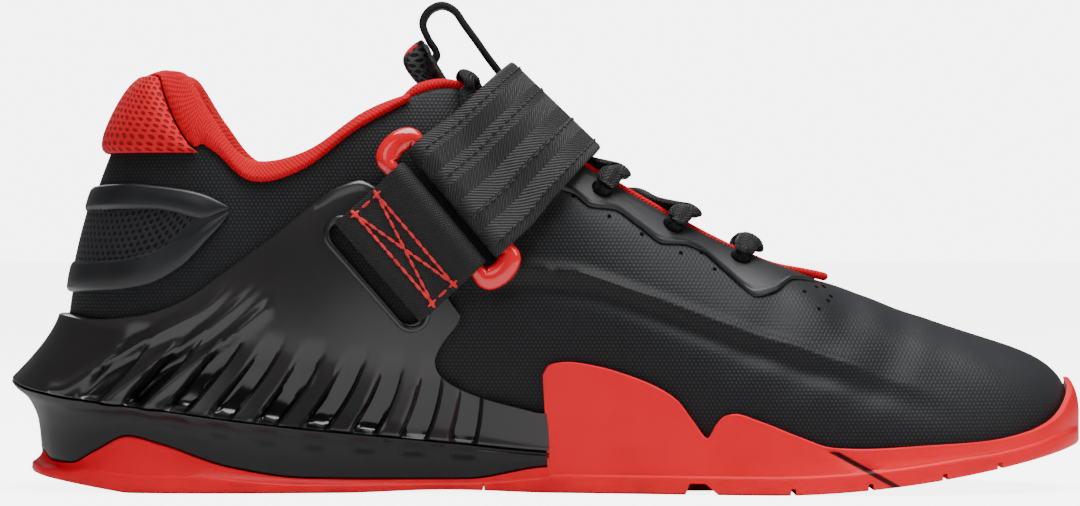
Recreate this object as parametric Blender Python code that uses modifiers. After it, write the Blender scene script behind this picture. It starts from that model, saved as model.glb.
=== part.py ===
# Weightlifting shoe, left foot, as separate pieces.
# Metres, toe towards +X, inner side of the foot towards -Y, floor at Z = 0.
import math

import bmesh
import bpy
import numpy as np
from mathutils import Matrix, Vector

# Driving sizes
shoe_length = 0.300  # heel spur to toe bumper
upper_width = 0.100  # across the upper at the ball of the foot
collar_height = 0.118  # floor to the top of the heel collar
wall = 0.0024  # upper
fit = 0.0003  # gap between pieces that touch
toe_spring = 0.0125
spring_start = 0.707  # share of the length where the toe starts to rise
heel_bevel = 0.0045
bevel_run = 0.030
arch_lift = 0.0008
sole_lip = 0.0045  # height of the step low on the outsole's side
heel_floor = 0.0034  # outsole under the midsole
rim_wall = 0.0027  # outsole fins and toe bumper
clip_wall = 0.0022
flare_height = 0.019  # height over which the clip's flange dies out
rib_depth = 0.0036
rib_count = 9
slot_width = 0.0075
slot_length = 0.036
web_wide = 0.0350
web_thick = 0.0012
strap_wide = 0.0375
strap_thick = 0.0013
ring_bar = 0.0021  # radius of the ring's bar
ring_reach = 0.0096  # between its two long bars
ring_length = 0.0485
tongue_thick = 0.0040
tongue_half = 0.023
tongue_reach = 0.0195  # past the top eyelets
tongue_rise = (-0.52, 0.0, 0.854)  # direction of that part
loop_wide = 0.010
loop_thick = 0.0014
insole_thick = 0.0038
pad_thick = 0.0036  # heel tab
roll_thick = 0.0058  # collar padding
counter_thick = 0.0015
counter_step = 0.0010
stay_thick = 0.0008
binding_radius = 0.0010
lace_half = 0.0032
lace_thin = 0.0013
lace_rise = 0.0038  # how far the laces hold the strap off the eyestays
eyelet_radius = 0.0022
ridge_height = 0.0010

# Sections of the last from the heel (row 0) to the toe tip. Places along the foot are percent of
# shoe_length from the heel end, heights percent of collar_height, the rest percent of upper_width.
last_names = ("along", "inner", "outer", "foot", "top_along", "gap", "top", "axis",
              "rise", "flare", "shoulder", "drop")
last_rows = (
    (5.3, 2.0, -2.0, 22.9, 13.3, 0.0, 97.0, -2.0, 23.7, 3.0, 13.0, 11.9),
    (6.5, 16.0, 12.0, 22.9, 13.7, 8.0, 97.0, -2.0, 23.7, 3.0, 13.0, 11.9),
    (10.0, 26.5, 22.5, 22.7, 14.9, 15.5, 96.9, -2.0, 22.9, 3.0, 11.0, 11.9),
    (15.3, 32.0, 29.0, 22.0, 17.0, 21.0, 94.5, -2.0, 22.0, 3.0, 8.0, 13.6),
    (21.3, 34.0, 31.5, 20.8, 19.7, 25.5, 83.5, -2.0, 20.3, 3.0, 7.0, 15.3),
    (28.0, 33.5, 32.5, 18.9, 23.0, 28.5, 74.1, -1.5, 17.0, 3.0, 6.0, 15.3),
    (35.3, 32.0, 34.0, 16.5, 28.0, 29.5, 76.6, -1.0, 18.6, 3.0, 7.0, 17.0),
    (42.7, 31.8, 36.5, 13.7, 34.0, 28.0, 87.5, -0.5, 23.7, 3.0, 10.0, 18.6),
    (50.0, 33.5, 40.5, 11.0, 41.5, 21.5, 94.5, -0.5, 27.0, 3.0, 14.0, 17.0),
    (57.3, 38.0, 45.0, 9.2, 49.0, 17.5, 83.7, -1.0, 25.4, 2.5, 14.0, 10.2),
    (64.7, 43.5, 48.0, 8.0, 57.0, 15.0, 71.3, -1.5, 23.7, 2.5, 15.0, 8.5),
    (72.0, 47.5, 48.0, 7.6, 65.3, 12.0, 59.7, -2.5, 22.0, 2.5, 16.0, 5.9),
    (78.7, 48.0, 44.5, 7.8, 72.7, 9.5, 51.6, -3.5, 18.6, 2.5, 17.0, 2.5),
    (84.7, 45.5, 38.0, 8.6, 77.7, 0.0, 47.7, -4.5, 15.3, 2.0, 17.0, 0.0),
    (90.0, 40.0, 29.5, 9.7, 82.3, 0.0, 43.1, -6.0, 13.6, 1.5, 17.0, 0.0),
    (94.3, 32.5, 19.0, 11.5, 86.3, 0.0, 39.7, -7.5, 12.5, 1.2, 16.0, 0.0),
    (97.5, 21.5, 6.0, 14.7, 89.7, 0.0, 36.9, -8.5, 12.0, 1.0, 14.5, 0.0),
    (99.1, 8.0, -8.0, 16.9, 91.3, 0.0, 35.6, -9.0, 12.0, 0.5, 13.5, 0.0),
)
tip_row = len(last_rows) - 1
throat_row = 13.0
collar_row = 8.0
last = {name: np.array([row[i] for row in last_rows]) for i, name in enumerate(last_names)}

# Heel clip and midsole, by row: parting height between them, how far the flange stands out there,
# how far the midsole stands out below it, and the red cup's edge. Percent as above.
heel_names = ("row", "parting", "flange", "waist", "cup", "spread")
heel_rows = (
    (0.0, 26.2, 15.6, 7.3, 7.8, 10.2),
    (0.5, 25.2, 15.2, 7.2, 9.0, 10.0),
    (1.0, 23.8, 14.0, 7.0, 6.8, 9.8),
    (1.5, 22.6, 12.6, 6.8, 6.6, 9.4),
    (2.0, 21.4, 11.4, 6.5, 9.8, 9.0),
    (2.5, 20.4, 10.6, 6.3, 13.2, 8.8),
    (3.0, 19.5, 10.0, 6.0, 11.4, 8.4),
    (4.0, 17.2, 8.5, 5.0, 6.0, 7.4),
    (5.0, 15.1, 7.0, 4.0, 3.4, 6.0),
    (6.0, 13.3, 5.5, 3.3, 3.1, 4.6),
    (7.0, 11.5, 4.2, 2.8, 3.1, 3.8),
    (8.0, 9.8, 3.2, 2.6, 6.0, 3.6),
    (9.0, 9.0, 3.0, 2.6, 7.0, 4.0),
)
heel = {name: np.array([row[i] for row in heel_rows]) for i, name in enumerate(heel_names)}
clip_end = 8.02  # rows where heel pieces end and the forefoot of the outsole begins
cup_end = 8.06
fore_start = 8.13

# Top edge of the forefoot rim with its two fins: row, percent of collar_height
rim_rows = ((8.13, 27.5), (8.25, 29.8), (8.5, 30.5), (8.85, 29.6), (9.25, 27.4), (9.58, 24.6),
            (9.78, 21.6), (9.91, 17.0), (10.05, 13.0), (10.18, 16.0), (10.32, 18.2), (10.45, 18.7),
            (10.7, 17.2), (11.2, 13.4), (11.6, 11.0), (12.0, 10.7), (13.0, 11.4), (14.0, 12.2),
            (15.0, 14.4), (15.5, 16.4), (16.0, 19.4), (16.5, 23.0), (17.0, 26.4))
spread_rows = ((8.0, 3.6), (9.0, 4.2), (11.0, 5.2), (12.5, 5.2), (14.0, 4.4), (16.0, 3.4), (17.0, 2.6))

# Upper edge of the clip in side view: percent along, percent of collar_height
clip_top = ((0.0, 41.5), (5.0, 41.6), (9.0, 40.3), (13.0, 41.2), (16.5, 44.0), (21.0, 51.8),
            (25.0, 59.5), (28.7, 67.0), (31.0, 71.0), (33.2, 72.6), (35.0, 70.5), (43.5, 39.0),
            (46.0, 36.0), (52.0, 34.0))
# Bay cut in the clip's front edge, and the front of its arm
bay_points = ((34.6, 76.0), (35.3, 70.0), (42.5, 41.2), (42.2, 39.0), (40.6, 34.4), (40.0, 30.0),
              (41.0, 26.0), (44.0, 22.2), (49.3, 18.6), (54.0, 17.6), (54.0, 76.0))

# Lower edge of the eyestays, pressed ridge on the side, counter panel and its window, heel tab
stay_rows = ((8.0, 76.0), (9.0, 71.5), (9.4, 69.5), (9.6, 66.4), (9.9, 65.8), (10.15, 62.0),
             (10.4, 57.8), (10.65, 57.6), (10.85, 56.2), (11.05, 51.4), (11.3, 45.4), (11.6, 46.6),
             (12.0, 49.4), (12.4, 48.6))
ridge_rows = ((7.0, 50.0), (8.0, 52.5), (9.0, 51.0), (10.0, 44.5), (11.0, 36.6), (12.0, 30.5),
              (13.0, 25.0), (14.0, 21.5), (17.0, 25.0))
counter_rows = ((0.0, 46.5, 53.5, 65.5, 70.8), (1.0, 46.5, 53.5, 66.0, 71.6), (2.0, 46.8, 54.0, 66.2, 71.9),
                (2.6, 48.0, 56.0, 66.0, 71.4), (3.2, 52.0, 59.0, 65.0, 70.6), (3.7, 58.0, 62.4, 63.8, 69.4),
                (4.1, 62.5, 64.4, 65.2, 67.6), (4.3, 64.8, 65.3, 65.8, 66.4))
tab_low = 79.0
tab_low_row = 3.55
tab_top_row = 1.9
eyelet_along = ((42.7, 87.0), (48.6, 79.0), (55.2, 70.3), (61.8, 61.6), (68.1, 54.0))

# Ring and slot of the inner arm in side view: percent along, percent of collar_height
ring_place = (41.2, 65.3)
slot_place = (34.6, 51.3)
strap_crest = ((45.9, 98.8), (54.2, 78.6))  # rear and front edge of the strap over the instep
strap_lean = (0.66, -0.75)  # direction of the ring's long bars

colours = {
    "red rubber": ((0.72, 0.006, 0.015), 0.42, 0.0),
    "black foam": ((0.012, 0.012, 0.014), 0.5, 0.0),
    "gloss black": ((0.016, 0.014, 0.016), 0.22, 0.0),
    "black textile": ((0.022, 0.023, 0.027), 0.6, 0.0),
    "black film": ((0.018, 0.019, 0.022), 0.45, 0.0),
    "black mesh": ((0.008, 0.008, 0.009), 0.8, 0.0),
    "red knit": ((0.68, 0.008, 0.016), 0.85, 0.0),
    "black webbing": ((0.014, 0.014, 0.016), 0.75, 0.0),
    "gloss red": ((0.75, 0.01, 0.012), 0.18, 0.0),
}


def length_at(percent):
    return (np.asarray(percent, float) / 100 - 0.5) * shoe_length


def wide(percent):
    return np.asarray(percent, float) / 100 * upper_width


def tall(percent):
    return np.asarray(percent, float) / 100 * collar_height


def catmull(a, b, c, d, f):
    return b + 0.5 * f * (c - a + f * (2 * a - 5 * b + 4 * c - d + f * (3 * (b - c) + d - a)))


def row_of(c):
    return tip_row - np.abs(tip_row - np.mod(c, 2 * tip_row))


def side_of(c):
    return np.where(np.mod(c, 2 * tip_row) <= tip_row, -1.0, 1.0)


def ring_at(side, row):
    return np.where(np.asarray(side) < 0, row, 2 * tip_row - np.asarray(row, float))


def by_row(name, row, odd=False):
    values = last[name]
    row = np.asarray(row, float)
    i = np.clip(np.floor(row).astype(int), 0, tip_row - 1)
    f = row - i
    before = np.where(i == 0, (-1.0 if odd else 1.0) * values[1], values[i - 1])
    after = np.where(i + 2 > tip_row, values[tip_row - 1], values[np.minimum(i + 2, tip_row)])
    return catmull(before, values[i], values[i + 1], after, f)


def outline(c):
    # The last's edge on the sole, once round it
    x = np.concatenate([length_at(last["along"]), length_at(last["along"])[-2:0:-1]])
    y = np.concatenate([-wide(last["inner"]), wide(last["outer"])[-2:0:-1]])
    n = 2 * tip_row
    c = np.mod(np.asarray(c, float), n)
    i = np.floor(c).astype(int)
    f = c - i
    return [catmull(v[i - 1], v[i % n], v[(i + 1) % n], v[(i + 2) % n], f) for v in (x, y)]


def outward(c):
    step = 0.05
    xa, ya = outline(np.asarray(c) - step)
    xb, yb = outline(np.asarray(c) + step)
    size = np.hypot(xb - xa, yb - ya)
    return (yb - ya) / size, -(xb - xa) / size


def foot_height(c):
    return tall(by_row("foot", row_of(c)))


def top_edge(c):
    row = row_of(c)
    gap = wide(by_row("gap", row, odd=True)) * np.sqrt(np.clip((throat_row - row) / 0.8, 0, 1))
    gap = np.where(row >= throat_row, 0.0, np.maximum(gap, 0.0))
    x = length_at(by_row("top_along", row))
    return x, wide(by_row("axis", row)) + side_of(c) * gap, tall(by_row("top", row))


def wall_controls(c):
    # The four control points of the upper's outer face over each place c round the foot
    row = row_of(c)
    fx, fy = outline(c)
    fz = foot_height(c)
    nx, ny = outward(c)
    tx, ty, tz = top_edge(c)
    step = 0.02
    near, far = np.clip(row - step, 0, tip_row), np.clip(row + step, 0, tip_row)
    run = length_at(by_row("top_along", far)) - length_at(by_row("top_along", near))
    fall = (tall(by_row("top", near)) - tall(by_row("top", far))) / run
    slope = np.clip(row - (throat_row - 1), 0, 1) * fall
    flare, shoulder = wide(by_row("flare", row)), wide(by_row("shoulder", row))
    rise, drop = tall(by_row("rise", row)), tall(by_row("drop", row))
    return (np.stack([fx, fy, fz], -1),
            np.stack([fx + flare * nx, fy + flare * ny, fz + rise], -1),
            np.stack([tx + shoulder * nx, ty + shoulder * ny, tz - drop - shoulder * slope * nx], -1),
            np.stack([tx, ty, tz], -1))


def bezier(controls, w):
    a, b, d, e = (1 - w) ** 3, 3 * w * (1 - w) ** 2, 3 * w * w * (1 - w), w ** 3
    return a * controls[0] + b * controls[1] + d * controls[2] + e * controls[3]


def wall_point(c, w):
    # The upper's outer face: c runs round the foot, w from the sole (0) to the top edge (1)
    c, w = np.broadcast_arrays(np.asarray(c, float), np.asarray(w, float))
    return bezier(wall_controls(c), w[..., None])


def wall_normal(c, w):
    low, high = np.clip(np.asarray(w, float) - 0.01, 0, 1), np.clip(np.asarray(w, float) + 0.01, 0, 1)
    side = side_of(c)
    row = row_of(c)
    near = ring_at(side, np.clip(row - 0.03 * -side, 0, tip_row))
    far = ring_at(side, np.clip(row + 0.03 * -side, 0, tip_row))
    across = wall_point(far, w) - wall_point(near, w)
    upward = wall_point(c, high) - wall_point(c, low)
    normal = np.cross(across, upward)
    return normal / np.linalg.norm(normal, axis=-1, keepdims=True)


def on_wall(c, w, out):
    return wall_point(c, w) + wall_normal(c, w) * np.asarray(out)[..., None]


def share_at_height(c, z, controls=None):
    heights = [point[..., 2] for point in (controls or wall_controls(c))]
    low, high = np.zeros(np.shape(z)), np.ones(np.shape(z))
    for _ in range(24):
        middle = (low + high) / 2
        under = bezier(heights, middle) < z
        low, high = np.where(under, middle, low), np.where(under, high, middle)
    return (low + high) / 2


def skin(c, z, out):
    # A point beside the upper at height z, moved out level with the floor
    c, z, out = np.broadcast_arrays(np.asarray(c, float), np.asarray(z, float), np.asarray(out, float))
    controls = wall_controls(c)
    point = bezier(controls, share_at_height(c, z, controls)[..., None])
    nx, ny = outward(c)
    return np.stack([point[..., 0] + nx * out, point[..., 1] + ny * out, z], -1)


def beside(side, x, z, out):
    # The same, at a given place along the foot
    x, z = np.broadcast_arrays(np.asarray(x, float), np.asarray(z, float))
    row = np.full(x.shape, 8.0)
    for _ in range(12):
        miss = x - skin(ring_at(side, row), z, 0.0)[..., 0]
        row = np.clip(row + miss / (shoe_length * 0.08), 2.5, 12.5)
    return skin(ring_at(side, row), z, out)


def stand_off(side, x, z, lift):
    # A point lifted square off the upper's side, with the direction it was lifted in
    spot = beside(side, x, z, 0.0)
    step = 0.0008
    ahead = beside(side, np.asarray(x) + step, z, 0.0) - spot
    above = beside(side, x, np.asarray(z) + step, 0.0) - spot
    normal = np.cross(above, ahead) * side
    normal /= np.linalg.norm(normal, axis=-1, keepdims=True)
    return spot + normal * np.asarray(lift)[..., None], normal


def from_table(rows, place, column=1):
    table = np.array(rows)
    return np.interp(place, table[:, 0], table[:, column])


def heel_value(name, row):
    return np.interp(row, heel["row"], heel[name])


def ground(x):
    # Underside of the outsole
    start = length_at(spring_start * 100)
    toe = toe_spring * np.clip((x - start) / (shoe_length / 2 - start), 0, None) ** 1.8
    back = -shoe_length / 2 + 0.035
    bevel = heel_bevel * np.clip((back - x) / bevel_run, 0, None)
    arch = arch_lift * np.sin(np.pi * np.clip((x - length_at(31)) / (length_at(51) - length_at(31)), 0, 1)) ** 2
    return toe + bevel + arch


def material(name):
    made = bpy.data.materials.get(name)
    if made is None:
        made = bpy.data.materials.new(name)
        made.use_nodes = True
        colour, roughness, metallic = colours[name]
        shader = made.node_tree.nodes["Principled BSDF"]
        shader.inputs["Base Color"].default_value = (*colour, 1)
        shader.inputs["Roughness"].default_value = roughness
        shader.inputs["Metallic"].default_value = metallic
        made.diffuse_color = (*colour, 1)
    return made


def new_object(name, points, faces, finish, group=None):
    mesh = bpy.data.meshes.new(name)
    mesh.from_pydata([tuple(map(float, p)) for p in points], [], faces)
    bm = bmesh.new()
    bm.from_mesh(mesh)
    bmesh.ops.remove_doubles(bm, verts=bm.verts, dist=1e-6)
    bmesh.ops.recalc_face_normals(bm, faces=bm.faces)
    bm.to_mesh(mesh)
    bm.free()
    mesh.materials.append(material(finish))
    made = bpy.data.objects.new(name, mesh)
    (group or shoe).objects.link(made)
    return made


def grid_faces(rows, columns, start=0, loop=False):
    faces = []
    for i in range(rows - 1):
        for j in range(columns if loop else columns - 1):
            k = (j + 1) % columns
            a, b = start + i * columns, start + (i + 1) * columns
            faces.append((a + j, a + k, b + k, b + j))
    return faces


def patch_solid(name, outer, inner, finish, group=None):
    # Two grids of the same size become the faces of one closed solid
    rows, columns = outer.shape[:2]
    count = rows * columns
    points = np.concatenate([outer.reshape(-1, 3), inner.reshape(-1, 3)])
    faces = grid_faces(rows, columns)
    faces += [tuple(reversed(f)) for f in grid_faces(rows, columns, count)]
    rim = [j for j in range(columns)] + [i * columns + columns - 1 for i in range(1, rows)]
    rim += [(rows - 1) * columns + j for j in range(columns - 2, -1, -1)]
    rim += [i * columns for i in range(rows - 2, 0, -1)]
    for a, b in zip(rim, rim[1:] + rim[:1]):
        faces.append((b, a, a + count, b + count))
    return new_object(name, points, faces, finish, group)


def ring_solid(name, grid, finish, closed):
    # Levels (first index) of columns round the foot, closed below and above by strips across it
    levels, columns = grid.shape[:2]
    faces = grid_faces(levels, columns, loop=closed)
    for level in (0, levels - 1):
        base = level * columns
        half = columns // 2
        for j in range(half):
            if closed:
                a, b, c, d = j, j + 1, (columns - j - 1) % columns, (columns - j) % columns
            else:
                a, b, c, d = half - j, half - j - 1, half + j + 1, half + j
            face = [base + k for k in dict.fromkeys((a, b, c, d))]
            if len(face) > 2:
                faces.append(tuple(face))
    if not closed:
        for level in range(levels - 1):
            a, b = level * columns, (level + 1) * columns
            faces.append((a, b, b + columns - 1, a + columns - 1))
    return new_object(name, grid.reshape(-1, 3), faces, finish)


def sweep(name, path, finish, half, thin, up, closed=False, sides=6, group=None):
    # A round or oval section carried along a path, its flat side facing up
    path, up = np.array(path, float), np.array(up, float)
    if closed:
        tangent = np.roll(path, -1, 0) - np.roll(path, 1, 0)
    else:
        tangent = np.gradient(path, axis=0)
    tangent /= np.linalg.norm(tangent, axis=1, keepdims=True)
    across = np.cross(tangent, up)
    across /= np.linalg.norm(across, axis=1, keepdims=True)
    lift = np.cross(across, tangent)
    turn = np.arange(sides) / sides * 2 * np.pi
    ring = (path[:, None] + across[:, None] * (half * np.cos(turn))[None, :, None]
            + lift[:, None] * (thin * np.sin(turn))[None, :, None])
    count = len(path)
    faces = grid_faces(count, sides, loop=True)
    if closed:
        last_ring = (count - 1) * sides
        faces += [(last_ring + j, last_ring + (j + 1) % sides, (j + 1) % sides, j) for j in range(sides)]
    else:
        faces += [tuple(range(sides))[::-1], tuple((count - 1) * sides + j for j in range(sides))]
    return new_object(name, ring.reshape(-1, 3), faces, finish, group)


def smooth_path(points, steps):
    points = np.array(points, float)
    padded = np.vstack([2 * points[0] - points[1], points, 2 * points[-1] - points[-2]])
    result = []
    for i in range(len(points) - 1):
        for f in np.arange(steps) / steps:
            result.append(catmull(*padded[i:i + 4], f))
    return np.array(result + [points[-1]])


def cutter_from(name, points_xz, y_low, y_high):
    # A flat outline in side view, made a prism across the shoe
    count = len(points_xz)
    points = [(x, y_low, z) for x, z in points_xz] + [(x, y_high, z) for x, z in points_xz]
    faces = [tuple(range(count)), tuple(range(2 * count - 1, count - 1, -1))]
    faces += [(i, (i + 1) % count, (i + 1) % count + count, i + count) for i in range(count)]
    made = new_object(name, points, faces, "black foam", cutters)
    made.hide_render = True
    made.display_type = "WIRE"
    return made


def cut(target, cutter, operation="DIFFERENCE"):
    modifier = target.modifiers.new(cutter.name, "BOOLEAN")
    modifier.operation = operation
    modifier.solver = "EXACT"
    modifier.object = cutter


def side_xz(percent_along, percent_tall):
    return np.stack([length_at(percent_along), tall(percent_tall)], -1)


def loop_of(rows):
    # Rows from heel to toe on the inner side and back on the outer one
    rows = list(rows)
    return np.array(rows + [2 * tip_row - r for r in rows[-2:0:-1]])


def arc_of(rows):
    # Rows from the inner front round the heel to the outer front
    rows = np.array(rows)
    return np.concatenate([-rows[::-1], rows[1:]])


def place_signed(signed):
    return np.where(signed <= 0, -signed, 2 * tip_row - signed)


def build_upper():
    rows = list(np.arange(0, 5.1, 0.5)) + [5.7, 6.4, 7.2, 8, 8.6, 9.2, 9.8, 10.4, 11, 11.6, 12.1, 12.55]
    rows += list(np.arange(13, tip_row + 0.1, 0.5))
    c = loop_of(rows)
    ridge = share_at_height(c, tall(from_table(ridge_rows, row_of(c))))
    weight = np.interp(row_of(c), (7.4, 8.2, 11.5, 14.0), (0, 1, 1, 0))
    levels, lifts = [], []
    for share in (0.0, 0.4):
        levels.append(ridge * share)
        lifts.append(0 * ridge)
    for shift, lift in ((-0.05, 0.0), (0.0, 1.0), (0.05, 0.0)):
        levels.append(ridge + shift)
        lifts.append(lift * ridge_height * weight)
    for share in (0.32, 0.62, 0.86, 1.0):
        levels.append(ridge + 0.05 + (0.95 - ridge) * share)
        lifts.append(0 * ridge)
    grid = np.array([on_wall(c, w, lift) for w, lift in zip(levels, lifts)])
    grid[0] = wall_point(c, levels[0])
    grid[-1] = wall_point(c, levels[-1])
    upper = new_object("upper", grid.reshape(-1, 3), grid_faces(len(levels), len(c), loop=True), "black textile")
    shell = upper.modifiers.new("wall", "SOLIDIFY")
    shell.thickness = wall
    shell.offset = -1
    shell.use_even_offset = True
    holes = []
    for side in (-1, 1):
        for along, height in eyelet_along:
            spot, normal = stand_off(side, length_at(along), tall(height), 0.0)
            holes.append((Vector(spot), Vector(normal)))
    bm = bmesh.new()
    for spot, normal in holes:
        turn = normal.to_track_quat("Z", "Y").to_matrix().to_4x4()
        bmesh.ops.create_cone(bm, cap_ends=True, segments=6, radius1=eyelet_radius, radius2=eyelet_radius,
                              depth=wall * 4, matrix=Matrix.Translation(spot) @ turn)
    mesh = bpy.data.meshes.new("eyelet_cutter")
    bm.to_mesh(mesh)
    bm.free()
    cutter = bpy.data.objects.new("eyelet_cutter", mesh)
    cutters.objects.link(cutter)
    cutter.hide_render = True
    cutter.display_type = "WIRE"
    cut(upper, cutter)
    return holes


def build_outsole():
    rows = [0, 0.5, 1, 1.5, 2, 2.25, 2.5, 2.75, 3, 3.5, 4, 4.5, 5, 6, 7, 7.6, cup_end, fore_start, 8.25, 8.5,
            8.85, 9.25, 9.58, 9.78, 9.91, 10.05, 10.18, 10.32, 10.45, 10.7, 11, 11.5, 12, 12.5, 13, 13.5, 14,
            14.5, 15, 15.5, 16, 16.5, 17]
    c = loop_of(rows)
    row = row_of(c)
    fore = row > (cup_end + fore_start) / 2
    spread = wide(np.where(fore, from_table(spread_rows, row), heel_value("spread", row)))
    rim = tall(np.where(fore, from_table(rim_rows, row), heel_value("cup", row)))
    edge = np.where(fore, rim_wall, wide(heel_value("waist", row)))
    inside = np.where(fore, fit * 3, wide(heel_value("waist", row)) - 0.0016)
    floor_out = np.where(fore, fit * 3, wide(heel_value("waist", row)) - 0.005)
    floor = np.where(fore, foot_height(c) - fit, heel_floor)
    low = ground(skin(c, 0.005, spread)[..., 0])
    lip = np.minimum(low + sole_lip, (low + rim) / 2)
    grid = np.array([
        skin(c, low, spread - 0.0010),
        skin(c, low + 0.0010, spread),
        skin(c, lip, spread * 0.98),
        skin(c, lip + 0.0006, np.maximum(spread * 0.98 - 0.0009, edge)),
        skin(c, (lip + rim) / 2 + 0.0004, np.maximum(edge + (spread - edge) * 0.35, edge)),
        skin(c, rim, edge),
        skin(c, rim, inside),
        skin(c, rim + (floor - rim) * 0.3, inside + (floor_out - inside) * 0.3),
        skin(c, rim + (floor - rim) * 0.65, inside + (floor_out - inside) * 0.65),
        skin(c, floor, floor_out),
    ])
    outsole = ring_solid("outsole", grid, "red rubber", True)
    notch = side_xz((62.4, 63.3, 64.4, 66.6), (0, 3.6, 3.6, 0))
    notch = [(notch[0, 0], -0.01), (notch[1, 0], notch[1, 1]), (notch[2, 0], notch[2, 1]), (notch[3, 0], -0.01)]
    cut(outsole, cutter_from("flex_notch", notch, -upper_width, upper_width))
    for number, along in enumerate((72.5, 79.5, 86.3, 91.5)):
        x = float(length_at(along))
        depth = float(ground(np.array(x))) + 0.0018
        groove = [(x - 0.0009, -0.01), (x - 0.0009, depth), (x + 0.0009, depth), (x + 0.0009, -0.01)]
        cut(outsole, cutter_from("groove_%d" % number, groove, -upper_width, upper_width))
    return outsole


def build_midsole():
    rows = [0, 0.5, 1, 1.5, 2, 2.25, 2.5, 2.75, 3, 3.5, 4, 4.5, 5, 6, 7, 7.6, clip_end]
    signed = arc_of(rows)
    c = place_signed(signed)
    row = np.abs(signed)
    waist = wide(heel_value("waist", row))
    cup = tall(heel_value("cup", row)) + fit
    parting = tall(heel_value("parting", row)) - fit * 1.5
    flange = wide(heel_value("flange", row))
    middle = cup + (parting - cup) * 0.45
    grid = np.array([
        skin(c, np.full(c.shape, heel_floor + fit), waist - 0.005 - fit * 1.5),
        skin(c, cup, waist - 0.0016 - fit * 1.5),
        skin(c, cup, waist),
        skin(c, middle, waist + (flange - waist) * 0.12),
        skin(c, cup + (parting - cup) * 0.78, waist + (flange - waist) * 0.45),
        skin(c, parting - 0.0008, flange - 0.0004),
        skin(c, parting, flange),
        skin(c, parting, np.full(c.shape, fit)),
        skin(c, foot_height(c) - fit, np.full(c.shape, fit)),
    ])
    return ring_solid("midsole", grid, "black foam", False)


def clip_station(signed, share):
    # Lines of the clip lean forward as they rise, more at the heel than at the waist
    row = np.abs(signed)
    lean = np.interp(row, (0, 0.8, 2.5, 5.0, 7.0, clip_end), (0, 0.3, 1.9, 1.5, 0.5, 0.0))
    bottom = tall(heel_value("parting", row))
    side = np.where(signed <= 0, -1.0, 1.0)
    share = np.asarray(share, float)
    top = tall(41.5) * np.ones(row.shape)
    for _ in range(40):
        lift = np.clip((top - bottom) / tall(35), 0, 1.4)
        x = skin(ring_at(side, np.minimum(row + lean * lift, 9.5)), top, 0.0)[..., 0]
        goal = tall(from_table(clip_top, (x / shoe_length + 0.5) * 100))
        top = top + 0.5 * (goal - top)
    z = bottom + (top - bottom) * share
    shifted = row + lean * np.clip((z - bottom) / tall(35), 0, 1.4)
    return ring_at(side, shifted), z, bottom, row


def build_clip():
    first, last_rib = 1.7, 7.3
    pitch = (last_rib - first) / rib_count
    rows, kinds = [0.0, 0.5, 1.0, 1.4], [0, 0, 0, 0]
    for i in range(rib_count):
        start = first + i * pitch
        rows += [start, start + pitch * 0.28, start + pitch * 0.72]
        kinds += [0, 1, 1]
    rows += [last_rib, 7.6, clip_end]
    kinds += [0, 0, 0]
    signed = arc_of(rows)
    rib = np.concatenate([kinds[::-1], kinds[1:]]).astype(float)
    shares = (0.0, 0.05, 0.18, 0.36, 0.6, 1.0)
    outer, inner = [], []
    for share in shares:
        c, z, bottom, row = clip_station(signed, share)
        reach = wide(heel_value("flange", row)) - clip_wall - 2 * fit
        fade = np.clip(1 - (z - bottom) / flare_height, 0, 1) ** 1.6
        hollow = rib_depth * np.interp(row, (1.6, 2.6, 6.5, 7.4), (0.3, 1, 1, 0.5)) * rib
        depth = np.interp(z - bottom, (0, 0.001, 0.003, 0.012, 0.020), (0.35, 0.8, 1, 0.7, 0))
        slack = np.maximum(reach, 0) * fade
        out = 2 * fit + clip_wall + slack - np.minimum(hollow * depth, slack + clip_wall * 0.3)
        outer.append(skin(c, z, out))
        inner.append(skin(c, z, np.full(c.shape, 2 * fit)))
    clip = patch_solid("heel_clip", np.array(outer), np.array(inner), "gloss black")
    bay = side_xz(*zip(*bay_points))
    corner = bay[:2]
    curve = smooth_path(bay[2:9], 3)
    shape = np.vstack([corner, curve, bay[9:]])
    cut(clip, cutter_from("clip_bay", [tuple(p) for p in shape], -upper_width, upper_width))
    along = np.array(strap_lean) / np.hypot(*strap_lean)
    centre = np.array([length_at(slot_place[0]), tall(slot_place[1])])
    across = np.array([-along[1], along[0]])
    turn = np.linspace(-np.pi / 2, np.pi / 2, 7)
    half = slot_length / 2 - slot_width / 2
    oblong = [centre + along * (half + slot_width / 2 * math.cos(t)) + across * slot_width / 2 * math.sin(t)
              for t in turn]
    oblong += [centre - along * (half + slot_width / 2 * math.cos(t)) - across * slot_width / 2 * math.sin(t)
               for t in turn]
    cut(clip, cutter_from("clip_slot", [tuple(p) for p in oblong], -upper_width, upper_width))
    return clip


def build_counter():
    rows = [r[0] for r in counter_rows]
    rows = sorted(set(rows + [0.5, 1.5]))
    signed = arc_of(rows)
    row = np.abs(signed)
    c = place_signed(signed)
    low, sill, head, high = [tall(from_table(counter_rows, row, k)) for k in (1, 2, 3, 4)]
    thick = counter_thick * np.interp(row, (3.7, 4.3), (1, 0.5))
    levels = ((low, 0), (low + (sill - low) * 0.2, 1), (sill - (sill - low) * 0.15, 1), (sill, 2),
              (head, 2), (head + (high - head) * 0.2, 1), (high, 0))
    outer, inner = [], []
    for z, kind in levels:
        out = np.where(kind == 0, thick * 0.4, np.where(kind == 1, thick, np.maximum(thick - counter_step, 0.0004)))
        w = share_at_height(c, z)
        outer.append(on_wall(c, w, fit + out))
        inner.append(on_wall(c, w, np.full(c.shape, fit)))
    return patch_solid("counter_panel", np.array(outer), np.array(inner), "black film")


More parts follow.
